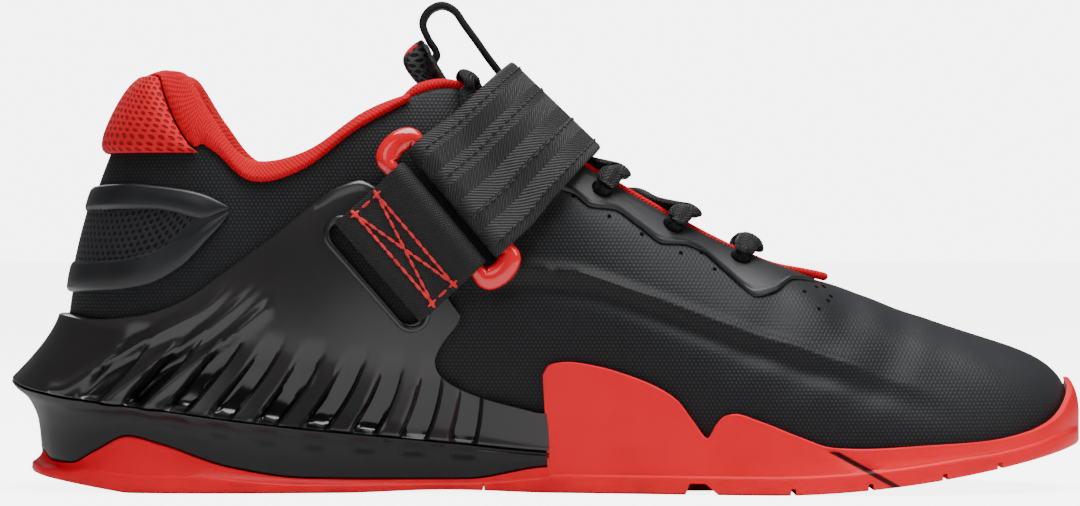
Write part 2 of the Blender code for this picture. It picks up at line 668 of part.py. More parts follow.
def build_tab():
    shares = (0.0, 0.1, 0.4, 0.8, 1.0)
    puff = (0.25, 0.8, 1.0, 0.9, 0.35)
    outer, inner = [], []
    for share, thick in zip(shares, puff):
        limit = tab_low_row + (tab_top_row - tab_low_row) * share ** 0.8
        q = np.linspace(-1, 1, 17)
        c = place_signed(q * limit)
        start = share_at_height(c, np.full(c.shape, tall(tab_low)))
        w = start + (0.985 - start) * share
        side_fade = np.interp(np.abs(q), (0, 0.75, 0.93, 1.0), (1, 1, 0.7, 0.2))
        outer.append(on_wall(c, w, fit * 2 + 0.0004 + pad_thick * thick * side_fade))
        inner.append(on_wall(c, w, np.full(c.shape, fit * 2)))
    return patch_solid("heel_tab", np.array(outer), np.array(inner), "red knit")


def build_roll():
    rows = list(np.arange(0, 5.1, 0.5)) + [5.7, 6.4, 7.2, 7.5]
    c = place_signed(arc_of(rows))
    top = wall_point(c, 1.0)
    normal = wall_normal(c, 1.0)
    upward = wall_point(c, 1.0) - wall_point(c, 0.985)
    upward /= np.linalg.norm(upward, axis=-1, keepdims=True)
    back = wall + fit * 5
    row = row_of(c)
    # Beside the heel tab the roll hangs down the outside as far as the tab's front seam
    seam = np.clip((tab_low_row - row) / (tab_low_row - tab_top_row), 0, 1) ** 1.25
    tab_start = share_at_height(c, np.full(c.shape, tall(tab_low)))
    hang = np.minimum(tab_start + (0.985 - tab_start) * seam + 0.03, 0.99)
    hang = np.where(row > tab_low_row, np.interp(row, (tab_low_row, 4.2, 5.0), (0.86, 0.94, 0.985)), hang)
    ends = np.interp(row_of(c), (6.0, 7.5), (1, 0.4))[:, None]
    heel_puff = np.interp(row_of(c), (2, 4.2, 5), (1.0, 1.25, 1.0))[:, None]
    rim = [(0.0007, fit * 2), (0.0012, 0.0017), (-0.0008, 0.0035), (-0.0066, 0.0022)]
    outer = [on_wall(c, hang, fit * 2 + 0.0006 + 0 * c), on_wall(c, hang + (1 - hang) * 0.3, fit * 2 + 0.0015 + 0 * c)]
    outer += [top + normal * a * (ends if a < -0.001 else 1) + upward * b * heel_puff for a, b in rim]
    for w, thick in ((0.95, 1.0), (0.88, 0.75), (0.80, 0.3)):
        outer.append(wall_point(c, w) - wall_normal(c, w) * (back + roll_thick * thick * ends))
    inner = [on_wall(c, hang, fit * 2 + 0 * c), on_wall(c, hang + (1 - hang) * 0.3, fit * 2 + 0 * c)]
    inner += [top + normal * 0.0004 + upward * fit * 2, top - normal * 0.0008 + upward * fit * 2.5,
             top - normal * back + upward * fit * 2.5,
             top - normal * back - upward * 0.0010]
    for w in (0.95, 0.88, 0.80):
        inner.append(wall_point(c, w) - wall_normal(c, w) * back)
    return patch_solid("collar_roll", np.array(outer), np.array(inner), "red knit")


def build_binding():
    rows = np.array([7.65, 8.0, 8.6, 9.2, 9.8, 10.4, 11.0, 11.6, 12.1, 12.4, 12.62, 12.76, 12.86])
    signed = np.concatenate([rows, (2 * tip_row - rows)[::-1]])
    top = wall_point(signed, 1.0)
    upward = wall_point(signed, 1.0) - wall_point(signed, 0.985)
    upward /= np.linalg.norm(upward, axis=-1, keepdims=True)
    normal = wall_normal(signed, 1.0)
    over = np.interp(row_of(signed), (11.6, 12.5), (0, 1))[:, None]
    seat = upward * (1 - over) + normal * over
    seat /= np.linalg.norm(seat, axis=-1, keepdims=True)
    path = top + seat * (binding_radius + fit * (1.5 + 2 * over)) - normal * wall * 0.35 * (1 - over)
    return sweep("throat_binding", path, "red knit", binding_radius, binding_radius, normal, sides=6)


def build_stays():
    rows = np.array([8.15, 8.6, 9.0, 9.4, 9.6, 9.9, 10.15, 10.4, 10.65, 10.85, 11.05, 11.3, 11.6, 12.0, 12.4])
    for name, side in (("eyestay_inner", -1), ("eyestay_outer", 1)):
        c = ring_at(side, rows)
        low = share_at_height(c, tall(from_table(stay_rows, rows)))
        high = np.full(c.shape, 0.965)
        outer, inner = [], []
        for share, thick in ((0.0, 0.3), (0.12, 1.0), (0.55, 1.0), (1.0, 0.5)):
            w = low + (high - low) * share
            outer.append(on_wall(c, w, 2 * fit + stay_thick * thick * np.ones(c.shape)))
            inner.append(on_wall(c, w, np.full(c.shape, 2 * fit)))
        stay = patch_solid(name, np.array(outer), np.array(inner), "black film")
        cut(stay, bpy.data.objects["eyelet_cutter"])


def tongue_sections():
    back = wall + fit + 0.0003
    sections = []
    for row in (12.55, 12.2, 11.6, 11.0, 10.4, 9.8, 9.2, 8.6, 8.1):
        reach = tongue_half * np.interp(row, (8, 12.6), (1.0, 0.72))
        points = []
        for side in (-1, 1):
            c = float(ring_at(side, row))
            low, high = 0.4, 1.0
            middle_y = wide(by_row("axis", row))
            for _ in range(30):
                w = (low + high) / 2
                if abs(wall_point(c, w)[1] - middle_y) > reach:
                    low = w
                else:
                    high = w
            shares = [w, w + (1 - w) * 0.5, 1.0]
            line = [wall_point(c, s) - wall_normal(c, s) * back for s in shares]
            points.append(line)
        left, right = points[0], points[1][::-1]
        crown = (left[-1] + right[0]) / 2
        crown = crown + np.array([0, 0, 0.0006])
        quarter = [(left[-1] + crown) / 2, crown, (right[0] + crown) / 2]
        sections.append(np.array(left + quarter + right))
    direction = np.array(tongue_rise)
    base = sections[-1]
    centre = base[4]
    for share, narrow in ((0.35, 0.92), (0.7, 0.86), (0.92, 0.74), (1.0, 0.55)):
        spread = centre + (base - centre) * np.array([1, narrow, 1])
        spread[:, 2] = centre[2] + (base[:, 2] - centre[2]) * 0.8
        spread[:, 0] = centre[0] + (base[:, 0] - centre[0]) * 0.6
        sections.append(spread + direction * tongue_reach * share)
    return np.array(sections)


def build_tongue():
    outer = tongue_sections()
    along = np.gradient(outer, axis=0)
    across = np.gradient(outer, axis=1)
    normal = np.cross(along, across)
    normal /= np.linalg.norm(normal, axis=-1, keepdims=True)
    if normal[4, 4, 2] < 0:
        normal = -normal
    side_thin = np.array([0.35, 0.8, 1, 1, 1, 1, 1, 0.8, 0.35])
    end_thin = np.interp(np.arange(len(outer)), (0, 1, 8, 9, 10, 11, 12), (0.5, 1, 1.1, 1.8, 2.2, 2.0, 1.0))
    inner = outer - normal * (tongue_thick * side_thin[None, :] * end_thin[:, None])[..., None]
    patch_solid("tongue", outer, inner, "black mesh")
    return outer


def build_pull_loop(tongue):
    # Seen from the side: rises from the tongue's top, bends forward, comes down to its face
    shape = ((40.0, 104.0), (38.9, 107.2), (38.6, 110.6), (39.2, 113.6), (40.4, 114.9), (41.6, 113.6),
             (42.5, 110.4), (43.6, 106.6), (44.7, 102.6), (45.9, 98.6))
    xz = side_xz(*zip(*shape))
    path = np.stack([xz[:, 0], np.full(len(xz), float(tongue[-3, 4, 1])), xz[:, 1]], -1)
    path = smooth_path(path, 2)
    y_axis = np.array([0.0, 1.0, 0.0])
    tangent = np.gradient(path, axis=0)
    tangent /= np.linalg.norm(tangent, axis=1, keepdims=True)
    normal = np.cross(y_axis, tangent)
    half = y_axis * loop_wide / 2
    outer = np.array([path + half + normal * loop_thick / 2, path - half + normal * loop_thick / 2])
    inner = np.array([path + half - normal * loop_thick / 2, path - half - normal * loop_thick / 2])
    patch_solid("pull_loop", outer, inner, "black webbing")


def build_insole():
    c = loop_of(list(range(tip_row)) + [tip_row - 0.5, tip_row])
    x, y = outline(c)
    nx, ny = outward(c)
    z = foot_height(c)
    grid = []
    for inset, lift in ((0.0014, 0.0), (0.0006, 0.0008), (0.0006, insole_thick - 0.0008), (0.0020, insole_thick)):
        shift = -(wall + inset + fit)
        grid.append(np.stack([x + nx * shift, y + ny * shift, z + lift], -1))
    return ring_solid("insole", np.array(grid), "red knit", True)


def offset_path(path, half):
    tangent = np.gradient(path, axis=0)
    tangent /= np.linalg.norm(tangent, axis=1, keepdims=True)
    normal = np.stack([-tangent[:, 1], tangent[:, 0]], -1)
    return path + normal * half, path - normal * half


def band_solid(name, place, path, thick, spans, finish):
    # path is drawn in a plane of distance along the band and height over what it lies on
    above, below = offset_path(np.array(path, float), thick / 2)
    spans = np.array(spans)[:, None]
    return patch_solid(name, place(*above.T, spans), place(*below.T, spans), finish)


def turn_round(centre, radius, start, end, count=7):
    angle = np.linspace(start, end, count)
    return [(centre[0] + radius * math.cos(a), centre[1] + radius * math.sin(a)) for a in angle]


lean = np.array(strap_lean) / math.hypot(*strap_lean)
rising = np.array([-lean[1], lean[0]])
ring_centre = np.array([length_at(ring_place[0]), tall(ring_place[1])])
slot_centre = np.array([length_at(slot_place[0]), tall(slot_place[1])])
slot_distance = float(np.dot(slot_centre - ring_centre, rising))
ring_out = 0.0062  # height of the ring's middle over the upper
web_out = clip_wall + 4 * fit


def side_place(side):
    def place(s, lift, q):
        x = ring_centre[0] + rising[0] * s + lean[0] * q
        z = ring_centre[1] + rising[1] * s + lean[1] * q
        return stand_off(side, x, z, lift + 0 * x)[0]
    return place


def build_ring_and_web():
    place = side_place(-1)
    half = ring_length / 2 - ring_reach / 2
    corner = np.linspace(-np.pi / 2, np.pi / 2, 6)
    track = [(ring_reach / 2 * math.sin(a), half + ring_reach / 2 * math.cos(a)) for a in corner]
    track += [(ring_reach / 2, strap_wide * share) for share in (0.25, 0.0, -0.25)]
    track += [(-s, -q) for s, q in track]
    track = np.array(track)
    centres = place(track[:, 0], ring_out, track[:, 1])
    ups = place(track[:, 0], ring_out + 0.001, track[:, 1]) - centres
    sweep("strap_ring", centres, "gloss red", ring_bar, ring_bar, ups, closed=True, sides=8)
    bend = ring_bar + fit + web_thick / 2
    bar = (-ring_reach / 2, ring_out)
    low, high = web_out + web_thick / 2, web_out + web_thick * 1.5 + 0.0001 + fit
    path = [(slot_distance + 0.0008, low), (slot_distance / 2, low), (bar[0] - 0.004, low + 0.0002)]
    path += turn_round(bar, bend, -np.pi * 0.62, np.pi * 0.62)
    path += [(bar[0] - 0.0055, high + 0.0008), (slot_distance / 2, high), (slot_distance + 0.0008, high)]
    spans = np.linspace(-web_wide / 2, web_wide / 2, 5)
    band_solid("ring_webbing", place, path, web_thick, spans, "black webbing")


def strap_base(q):
    # Middle line of the strap's bed at one share q of its width, from the ring over the instep
    share = q / strap_wide + 0.5
    start = ring_centre + rising * ring_reach / 2 + lean * q
    crest = (1 - share) * side_xz(*strap_crest[0]) + share * side_xz(*strap_crest[1])
    inner_y = beside(-1, start[0], start[1], 0.0)[1]
    outer_y = beside(1, start[0], start[1], 0.0)[1]
    line = []
    for angle in np.linspace(0, np.pi, 25):
        rise = math.sin(angle) ** 0.74
        reach = abs(math.cos(angle)) ** 0.74
        xz = start + (crest - start) * rise
        line.append((xz[0], (inner_y if angle < np.pi / 2 else outer_y) * reach, xz[1]))
    spot = start - rising * np.linspace(0.004, ring_reach / 2 - slot_distance, 5)[:, None]
    return np.vstack([line, beside(1, spot[:, 0], spot[:, 1], 0.0)])


def build_strap():
    spans = np.linspace(-strap_wide / 2, strap_wide / 2, 5)
    middle = strap_base(0.0)
    total = np.linalg.norm(np.diff(middle, axis=0), axis=1).sum()
    by_ring = side_place(-1)
    lines, marks, normals = {}, {}, {}
    for q in spans:
        line = strap_base(q)
        step = np.linalg.norm(np.diff(line, axis=0), axis=1)
        tangent = np.gradient(line, axis=0)
        normal = np.cross(np.array([lean[0], 0, lean[1]]), tangent)
        normal /= np.linalg.norm(normal, axis=1, keepdims=True)
        if normal[12, 2] < 0:
            normal = -normal
        lines[q], normals[q] = line, normal
        marks[q] = np.concatenate([[0], np.cumsum(step)]) / step.sum() * total

    def place(s, lift, q):
        line, normal, mark = lines[q], normals[q], marks[q]
        spot = np.array([np.interp(s, mark, line[:, k]) for k in range(3)])
        way = np.array([np.interp(s, mark, normal[:, k]) for k in range(3)])
        arched = spot + way / np.linalg.norm(way) * lift
        share = np.clip((s - 0.004) / 0.014, 0, 1)
        share = share * share * (3 - 2 * share)
        if share == 1:
            return arched
        return by_ring(ring_reach / 2 + s, lift, q) * (1 - share) + arched * share

    bed = 0.0005 + strap_thick / 2
    gap = strap_thick + fit
    bend = ring_bar + fit + strap_thick / 2
    bar = (0.0, ring_out)
    crest = float(np.linalg.norm(np.diff(middle[:13], axis=0), axis=1).sum())
    humps = ((0.30, 0.5), (0.48, 1.0), (0.64, 1.0), (0.8, 0.8), (1.0, 0.1), (1.2, 1.1), (1.36, 1.4), (1.52, 1.2))
    over_lace = [(crest * share, bed + lace_rise * lift) for share, lift in humps]
    path = [(total, web_out + strap_thick / 2), (total - 0.014, web_out + strap_thick / 2),
            (total - 0.026, bed + 0.0012)]
    path += over_lace[::-1]
    path += turn_round(bar, bend, -np.pi * 0.38, -np.pi * 1.62, 9)
    path += [(0.008, bed + gap + 0.0034)]
    path += [(s, lift + gap) for s, lift in over_lace]
    path = np.array(path)
    above, below = offset_path(path, strap_thick / 2)
    outer = np.array([[place(s, lift, q) for s, lift in above] for q in spans])
    inner = np.array([[place(s, lift, q) for s, lift in below] for q in spans])
    return patch_solid("strap", outer, inner, "black webbing")


def lace_anchor(side, index, lift):
    along, height = eyelet_along[index]
    return stand_off(side, length_at(along), tall(height), lift)[0]


def throat_point(side, along, lift, gap_share):
    rows = np.linspace(collar_row, throat_row, 200)
    x = length_at(by_row("top_along", rows))
    row = float(np.interp(length_at(along), x, rows))
    point = wall_point(float(ring_at(side, row)), 1.0)
    middle = wide(by_row("axis", row))
    return np.array([point[0] + lift * 0.5, middle + (point[1] - middle) * gap_share, point[2] + lift * 0.86])


def build_laces():
    clear = 2 * fit + stay_thick + lace_thin + 0.0004
    over_edge = binding_radius * 2 + fit * 2 + lace_thin
    up = np.array([0.5, 0.0, 0.86])

    def strand(name, index, side, far_along, group=None):
        along = eyelet_along[index][0]
        start = lace_anchor(side, index, clear)
        edge = throat_point(side, along + 1.1, over_edge + 0.0003, 1.04)
        middle = (along + far_along) / 2
        points = [start, (start + edge) / 2 + np.array([0, side * 0.0006, 0.0009]), edge,
                  throat_point(side, middle + 1.6, over_edge - 0.0010, 0.45),
                  throat_point(side, middle, 0.0009, 0.0),
                  throat_point(-side, far_along + 1.2, -0.0004, 0.5)]
        path = smooth_path(points, 2)
        return sweep(name, path, "black webbing", lace_half, lace_thin, np.tile(up, (len(path), 1)), group=group)

    for index in (1, 2, 3):
        far = eyelet_along[index - 1][0]
        cross = strand("lace_cross_%d" % index, index, -1, far)
        other = strand("lace_half_%d" % index, index, 1, far, cutters)
        other.hide_render = True
        other.display_type = "WIRE"
        cut(cross, other, "UNION")
    for name, index, bow, settle in (("lace_top", 0, -0.6, fit), ("lace_bottom", 4, 2.2, -fit)):
        along = eyelet_along[index][0]
        left, right = (lace_anchor(side, index, clear + settle) for side in (-1, 1))
        rise = np.array([0, 0, 0.0009])
        near, far = (throat_point(side, along + bow * 0.5, over_edge + 0.0003, 1.04) for side in (-1, 1))
        points = [left, (left + near) / 2 + rise, near,
                  throat_point(1, along + bow, over_edge - 0.0008, 0.0), far, (right + far) / 2 + rise, right]
        path = smooth_path(points, 2)
        sweep(name, path, "black webbing", lace_half, lace_thin, np.tile(up, (len(path), 1)))


for old in list(bpy.data.objects):
    bpy.data.objects.remove(old)
shoe = bpy.data.collections.new("weightlifting_shoe")
cutters = bpy.data.collections.new("cutters")
bpy.context.scene.collection.children.link(shoe)
bpy.context.scene.collection.children.link(cutters)

build_outsole()
build_midsole()
build_upper()
build_insole()
build_clip()
build_counter()
build_tab()
build_roll()
build_binding()
build_stays()
tongue_outer = build_tongue()
build_pull_loop(tongue_outer)
build_ring_and_web()
build_strap()
build_laces()
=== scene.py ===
import math

import bmesh
import bpy
import numpy as np
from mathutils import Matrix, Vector


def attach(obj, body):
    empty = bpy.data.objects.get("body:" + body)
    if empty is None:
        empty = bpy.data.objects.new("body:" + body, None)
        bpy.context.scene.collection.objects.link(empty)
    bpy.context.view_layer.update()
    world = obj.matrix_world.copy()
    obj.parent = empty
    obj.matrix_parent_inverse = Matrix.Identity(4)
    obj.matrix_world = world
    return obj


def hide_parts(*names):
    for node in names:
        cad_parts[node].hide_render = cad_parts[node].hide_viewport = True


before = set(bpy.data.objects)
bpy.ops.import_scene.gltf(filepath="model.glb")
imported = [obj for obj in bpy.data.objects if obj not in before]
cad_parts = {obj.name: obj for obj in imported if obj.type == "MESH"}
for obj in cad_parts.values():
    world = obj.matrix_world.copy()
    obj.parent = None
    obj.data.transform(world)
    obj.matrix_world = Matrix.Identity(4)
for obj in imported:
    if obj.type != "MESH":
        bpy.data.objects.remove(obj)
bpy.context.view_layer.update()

# Weightlifting shoe, left foot. Metres, toe towards +X, inner side towards -Y.
print("frame loaded")

shoe = {"length": 0.300, "width": 0.100, "collar": 0.118, "wall": 0.0024, "fit": 0.0003}

# Sections of the last from heel to toe: places in percent of the length from the heel end,
# heights in percent of the collar's, the rest in percent of the width
lastNames = ("along", "inner", "outer", "foot", "topAlong", "gap", "top", "axis",
             "rise", "flare", "shoulder", "drop")
lastRows = (
    (5.3, 2.0, -2.0, 22.9, 13.3, 0.0, 97.0, -2.0, 23.7, 3.0, 13.0, 11.9),
    (6.5, 16.0, 12.0, 22.9, 13.7, 8.0, 97.0, -2.0, 23.7, 3.0, 13.0, 11.9),
    (10.0, 26.5, 22.5, 22.7, 14.9, 15.5, 96.9, -2.0, 22.9, 3.0, 11.0, 11.9),
    (15.3, 32.0, 29.0, 22.0, 17.0, 21.0, 94.5, -2.0, 22.0, 3.0, 8.0, 13.6),
    (21.3, 34.0, 31.5, 20.8, 19.7, 25.5, 83.5, -2.0, 20.3, 3.0, 7.0, 15.3),
    (28.0, 33.5, 32.5, 18.9, 23.0, 28.5, 74.1, -1.5, 17.0, 3.0, 6.0, 15.3),
    (35.3, 32.0, 34.0, 16.5, 28.0, 29.5, 76.6, -1.0, 18.6, 3.0, 7.0, 17.0),
    (42.7, 31.8, 36.5, 13.7, 34.0, 28.0, 87.5, -0.5, 23.7, 3.0, 10.0, 18.6),
    (50.0, 33.5, 40.5, 11.0, 41.5, 21.5, 94.5, -0.5, 27.0, 3.0, 14.0, 17.0),
    (57.3, 38.0, 45.0, 9.2, 49.0, 17.5, 83.7, -1.0, 25.4, 2.5, 14.0, 10.2),
    (64.7, 43.5, 48.0, 8.0, 57.0, 15.0, 71.3, -1.5, 23.7, 2.5, 15.0, 8.5),
    (72.0, 47.5, 48.0, 7.6, 65.3, 12.0, 59.7, -2.5, 22.0, 2.5, 16.0, 5.9),
    (78.7, 48.0, 44.5, 7.8, 72.7, 9.5, 51.6, -3.5, 18.6, 2.5, 17.0, 2.5),
    (84.7, 45.5, 38.0, 8.6, 77.7, 0.0, 47.7, -4.5, 15.3, 2.0, 17.0, 0.0),
    (90.0, 40.0, 29.5, 9.7, 82.3, 0.0, 43.1, -6.0, 13.6, 1.5, 17.0, 0.0),
    (94.3, 32.5, 19.0, 11.5, 86.3, 0.0, 39.7, -7.5, 12.5, 1.2, 16.0, 0.0),
    (97.5, 21.5, 6.0, 14.7, 89.7, 0.0, 36.9, -8.5, 12.0, 1.0, 14.5, 0.0),
    (99.1, 8.0, -8.0, 16.9, 91.3, 0.0, 35.6, -9.0, 12.0, 0.5, 13.5, 0.0),
)
last = {name: np.array([row[i] for row in lastRows]) for i, name in enumerate(lastNames)}
tipRow = len(lastRows) - 1
throatRow = 13.0


def lengthAt(percent):
    return (np.asarray(percent, float) / 100 - 0.5) * shoe["length"]


def wide(percent):
    return np.asarray(percent, float) / 100 * shoe["width"]


def tall(percent):
    return np.asarray(percent, float) / 100 * shoe["collar"]


def catmull(a, b, c, d, f):
    return b + 0.5 * f * (c - a + f * (2 * a - 5 * b + 4 * c - d + f * (3 * (b - c) + d - a)))


def rowOf(c):
    return tipRow - np.abs(tipRow - np.mod(c, 2 * tipRow))


def sideOf(c):
    return np.where(np.mod(c, 2 * tipRow) <= tipRow, -1.0, 1.0)


def ringAt(side, row):
    return np.where(np.asarray(side) < 0, row, 2 * tipRow - np.asarray(row, float))


def byRow(name, row, odd=False):
    values = last[name]
    row = np.asarray(row, float)
    i = np.clip(np.floor(row).astype(int), 0, tipRow - 1)
    before = np.where(i == 0, (-1.0 if odd else 1.0) * values[1], values[i - 1])
    after = np.where(i + 2 > tipRow, values[tipRow - 1], values[np.minimum(i + 2, tipRow)])
    return catmull(before, values[i], values[i + 1], after, row - i)


def outline(c):  # the last's edge on the sole
    x = np.concatenate([lengthAt(last["along"]), lengthAt(last["along"])[-2:0:-1]])
    y = np.concatenate([-wide(last["inner"]), wide(last["outer"])[-2:0:-1]])
    n = 2 * tipRow
    c = np.mod(np.asarray(c, float), n)
    i = np.floor(c).astype(int)
    return [catmull(v[i - 1], v[i % n], v[(i + 1) % n], v[(i + 2) % n], c - i) for v in (x, y)]


def outward(c, step=0.05):
    xa, ya = outline(np.asarray(c) - step)
    xb, yb = outline(np.asarray(c) + step)
    size = np.hypot(xb - xa, yb - ya)
    return (yb - ya) / size, -(xb - xa) / size


def footHeight(c):
    return tall(byRow("foot", rowOf(c)))


def topEdge(c):
    row = rowOf(c)
    gap = wide(byRow("gap", row, odd=True)) * np.sqrt(np.clip((throatRow - row) / 0.8, 0, 1))
    gap = np.where(row >= throatRow, 0.0, np.maximum(gap, 0.0))
    return lengthAt(byRow("topAlong", row)), wide(byRow("axis", row)) + sideOf(c) * gap, tall(byRow("top", row))


def wallControls(c):  # four control points of the upper's outer face over each place round the foot
    row = rowOf(c)
    fx, fy = outline(c)
    fz = footHeight(c)
    nx, ny = outward(c)
    tx, ty, tz = topEdge(c)
    near, far = np.clip(row - 0.02, 0, tipRow), np.clip(row + 0.02, 0, tipRow)
    run = lengthAt(byRow("topAlong", far)) - lengthAt(byRow("topAlong", near))
    slope = np.clip(row - (throatRow - 1), 0, 1) * (tall(byRow("top", near)) - tall(byRow("top", far))) / run
    flare, shoulder = wide(byRow("flare", row)), wide(byRow("shoulder", row))
    rise, drop = tall(byRow("rise", row)), tall(byRow("drop", row))
    return (np.stack([fx, fy, fz], -1),
            np.stack([fx + flare * nx, fy + flare * ny, fz + rise], -1),
            np.stack([tx + shoulder * nx, ty + shoulder * ny, tz - drop - shoulder * slope * nx], -1),
            np.stack([tx, ty, tz], -1))


def bezier(controls, w):
    return ((1 - w) ** 3 * controls[0] + 3 * w * (1 - w) ** 2 * controls[1]
            + 3 * w * w * (1 - w) * controls[2] + w ** 3 * controls[3])


def wallPoint(c, w):
    c, w = np.broadcast_arrays(np.asarray(c, float), np.asarray(w, float))
    return bezier(wallControls(c), w[..., None])


def unit(v):
    return v / np.maximum(np.linalg.norm(v, axis=-1, keepdims=True), 1e-12)


def wallNormal(c, w):
    low, high = np.clip(np.asarray(w, float) - 0.01, 0, 1), np.clip(np.asarray(w, float) + 0.01, 0, 1)
    side, row = sideOf(c), rowOf(c)
    near = ringAt(side, np.clip(row + 0.03 * side, 0, tipRow))
    far = ringAt(side, np.clip(row - 0.03 * side, 0, tipRow))
    return unit(np.cross(wallPoint(far, w) - wallPoint(near, w), wallPoint(c, high) - wallPoint(c, low)))


def onWall(c, w, out):
    return wallPoint(c, w) + wallNormal(c, w) * np.asarray(out)[..., None]


def shareAtHeight(c, z, controls=None):
    heights = [point[..., 2] for point in (controls or wallControls(c))]
    low, high = np.zeros(np.shape(z)), np.ones(np.shape(z))
    for _ in range(22):
        middle = (low + high) / 2
        under = bezier(heights, middle) < z
        low, high = np.where(under, middle, low), np.where(under, high, middle)
    return (low + high) / 2


def skin(c, z, out):  # a place beside the upper at height z, moved out level with the floor
    c, z, out = np.broadcast_arrays(np.asarray(c, float), np.asarray(z, float), np.asarray(out, float))
    controls = wallControls(c)
    point = bezier(controls, shareAtHeight(c, z, controls)[..., None])
    nx, ny = outward(c)
    return np.stack([point[..., 0] + nx * out, point[..., 1] + ny * out, z], -1)


def beside(side, x, z, out=0.0):  # the same at a given place along the foot
    x, z = np.broadcast_arrays(np.asarray(x, float), np.asarray(z, float))
    row = np.full(x.shape, 8.0)
    for _ in range(12):
        miss = x - skin(ringAt(side, row), z, 0.0)[..., 0]
        row = np.clip(row + miss / (shoe["length"] * 0.08), 2.5, 12.5)
    return skin(ringAt(side, row), z, out)


def standOff(side, x, z, lift):  # a place lifted square off the side, and the direction of the lift
    spot = beside(side, x, z)
    ahead = beside(side, np.asarray(x) + 0.0008, z) - spot
    above = beside(side, x, np.asarray(z) + 0.0008) - spot
    normal = unit(np.cross(above, ahead) * side)
    return spot + normal * np.asarray(lift)[..., None], normal


def easy(rows, place, column=1):  # a table read along a smooth line that never overshoots
    table = np.array(rows, float)
    x, y = table[:, 0], table[:, column]
    h = np.diff(x)
    d = np.diff(y) / h
    m = np.zeros(len(x))
    m[0], m[-1] = d[0], d[-1]
    both = d[:-1] * d[1:] > 0
    weightA, weightB = 2 * h[1:] + h[:-1], h[1:] + 2 * h[:-1]
    with np.errstate(divide="ignore", invalid="ignore"):
        m[1:-1] = np.where(both, (weightA + weightB) / (weightA / d[:-1] + weightB / d[1:]), 0)
    place = np.clip(np.asarray(place, float), x[0], x[-1])
    i = np.clip(np.searchsorted(x, place, side="right") - 1, 0, len(x) - 2)
    t = (place - x[i]) / h[i]
    return ((2 * t ** 3 - 3 * t ** 2 + 1) * y[i] + (t ** 3 - 2 * t ** 2 + t) * h[i] * m[i]
            + (3 * t ** 2 - 2 * t ** 3) * y[i + 1] + (t ** 3 - t ** 2) * h[i] * m[i + 1])


def smoothStep(value, low, high):
    t = np.clip((np.asarray(value, float) - low) / (high - low), 0, 1)
    return t * t * (3 - 2 * t)


def smoothPath(points, steps):
    points = np.array(points, float)
    padded = np.vstack([2 * points[0] - points[1], points, 2 * points[-1] - points[-2]])
    result = [catmull(*padded[i:i + 4], f) for i in range(len(points) - 1) for f in np.arange(steps) / steps]
    return np.array(result + [points[-1]])


def evenPath(points, count):  # the same line with its points spaced evenly
    points = np.array(points, float)
    mark = np.concatenate([[0], np.cumsum(np.linalg.norm(np.diff(points, axis=0), axis=1))])
    places = np.linspace(0, mark[-1], count)
    return np.stack([np.interp(places, mark, column) for column in points.T], -1)


# Meshes
def meshObject(name, points, faces, surface, surf=None, sharp=42):
    mesh = bpy.data.meshes.new(name)
    mesh.from_pydata(np.asarray(points, float).tolist(), [], faces)
    if surf is not None:
        layer = mesh.attributes.new("surf", "FLOAT_VECTOR", "POINT")
        flat = np.zeros((len(mesh.vertices), 3))
        flat[:, :2] = surf
        layer.data.foreach_set("vector", flat.ravel())
    bm = bmesh.new()
    bm.from_mesh(mesh)
    bmesh.ops.remove_doubles(bm, verts=bm.verts, dist=2e-6)
    bmesh.ops.dissolve_degenerate(bm, edges=bm.edges, dist=1e-7)
    bmesh.ops.recalc_face_normals(bm, faces=bm.faces)
    for face in bm.faces:
        face.smooth = True
    for edge in bm.edges:
        edge.smooth = len(edge.link_faces) != 2 or edge.calc_face_angle(0) < math.radians(sharp)
    bm.to_mesh(mesh)
    bm.free()
    mesh.materials.append(surface)
    made = bpy.data.objects.new(name, mesh)
    bpy.context.scene.collection.objects.link(made)
    return made


def gridFaces(rows, columns, start=0, loop=False):
    faces = []
    for i in range(rows - 1):
        for j in range(columns if loop else columns - 1):
            k = (j + 1) % columns
            a, b = start + i * columns, start + (i + 1) * columns
            faces.append((a + j, a + k, b + k, b + j))
    return faces


def walked(grid, axis):  # distance along one direction of a grid, for patterns that follow the surface
    step = np.linalg.norm(np.diff(grid, axis=axis), axis=-1)
    zero = np.zeros_like(np.take(step, [0], axis=axis))
    return np.cumsum(np.concatenate([zero, step], axis=axis), axis=axis)


def patchSolid(name, outer, inner, surface, surf=None, sharp=42):
    rows, columns = outer.shape[:2]
    count = rows * columns
    if surf is None:
        surf = np.stack([np.broadcast_to(walked(outer, 1).mean(0), (rows, columns)),
                         walked(outer, 0)], -1)
    surf = surf.reshape(-1, 2)
    faces = gridFaces(rows, columns) + [tuple(reversed(f)) for f in gridFaces(rows, columns, count)]
    rim = list(range(columns)) + [i * columns + columns - 1 for i in range(1, rows)]
    rim += [(rows - 1) * columns + j for j in range(columns - 2, -1, -1)]
    rim += [i * columns for i in range(rows - 2, 0, -1)]
    faces += [(b, a, a + count, b + count) for a, b in zip(rim, rim[1:] + rim[:1])]
    return meshObject(name, np.concatenate([outer.reshape(-1, 3), inner.reshape(-1, 3)]), faces, surface,
                      np.concatenate([surf, surf]), sharp)


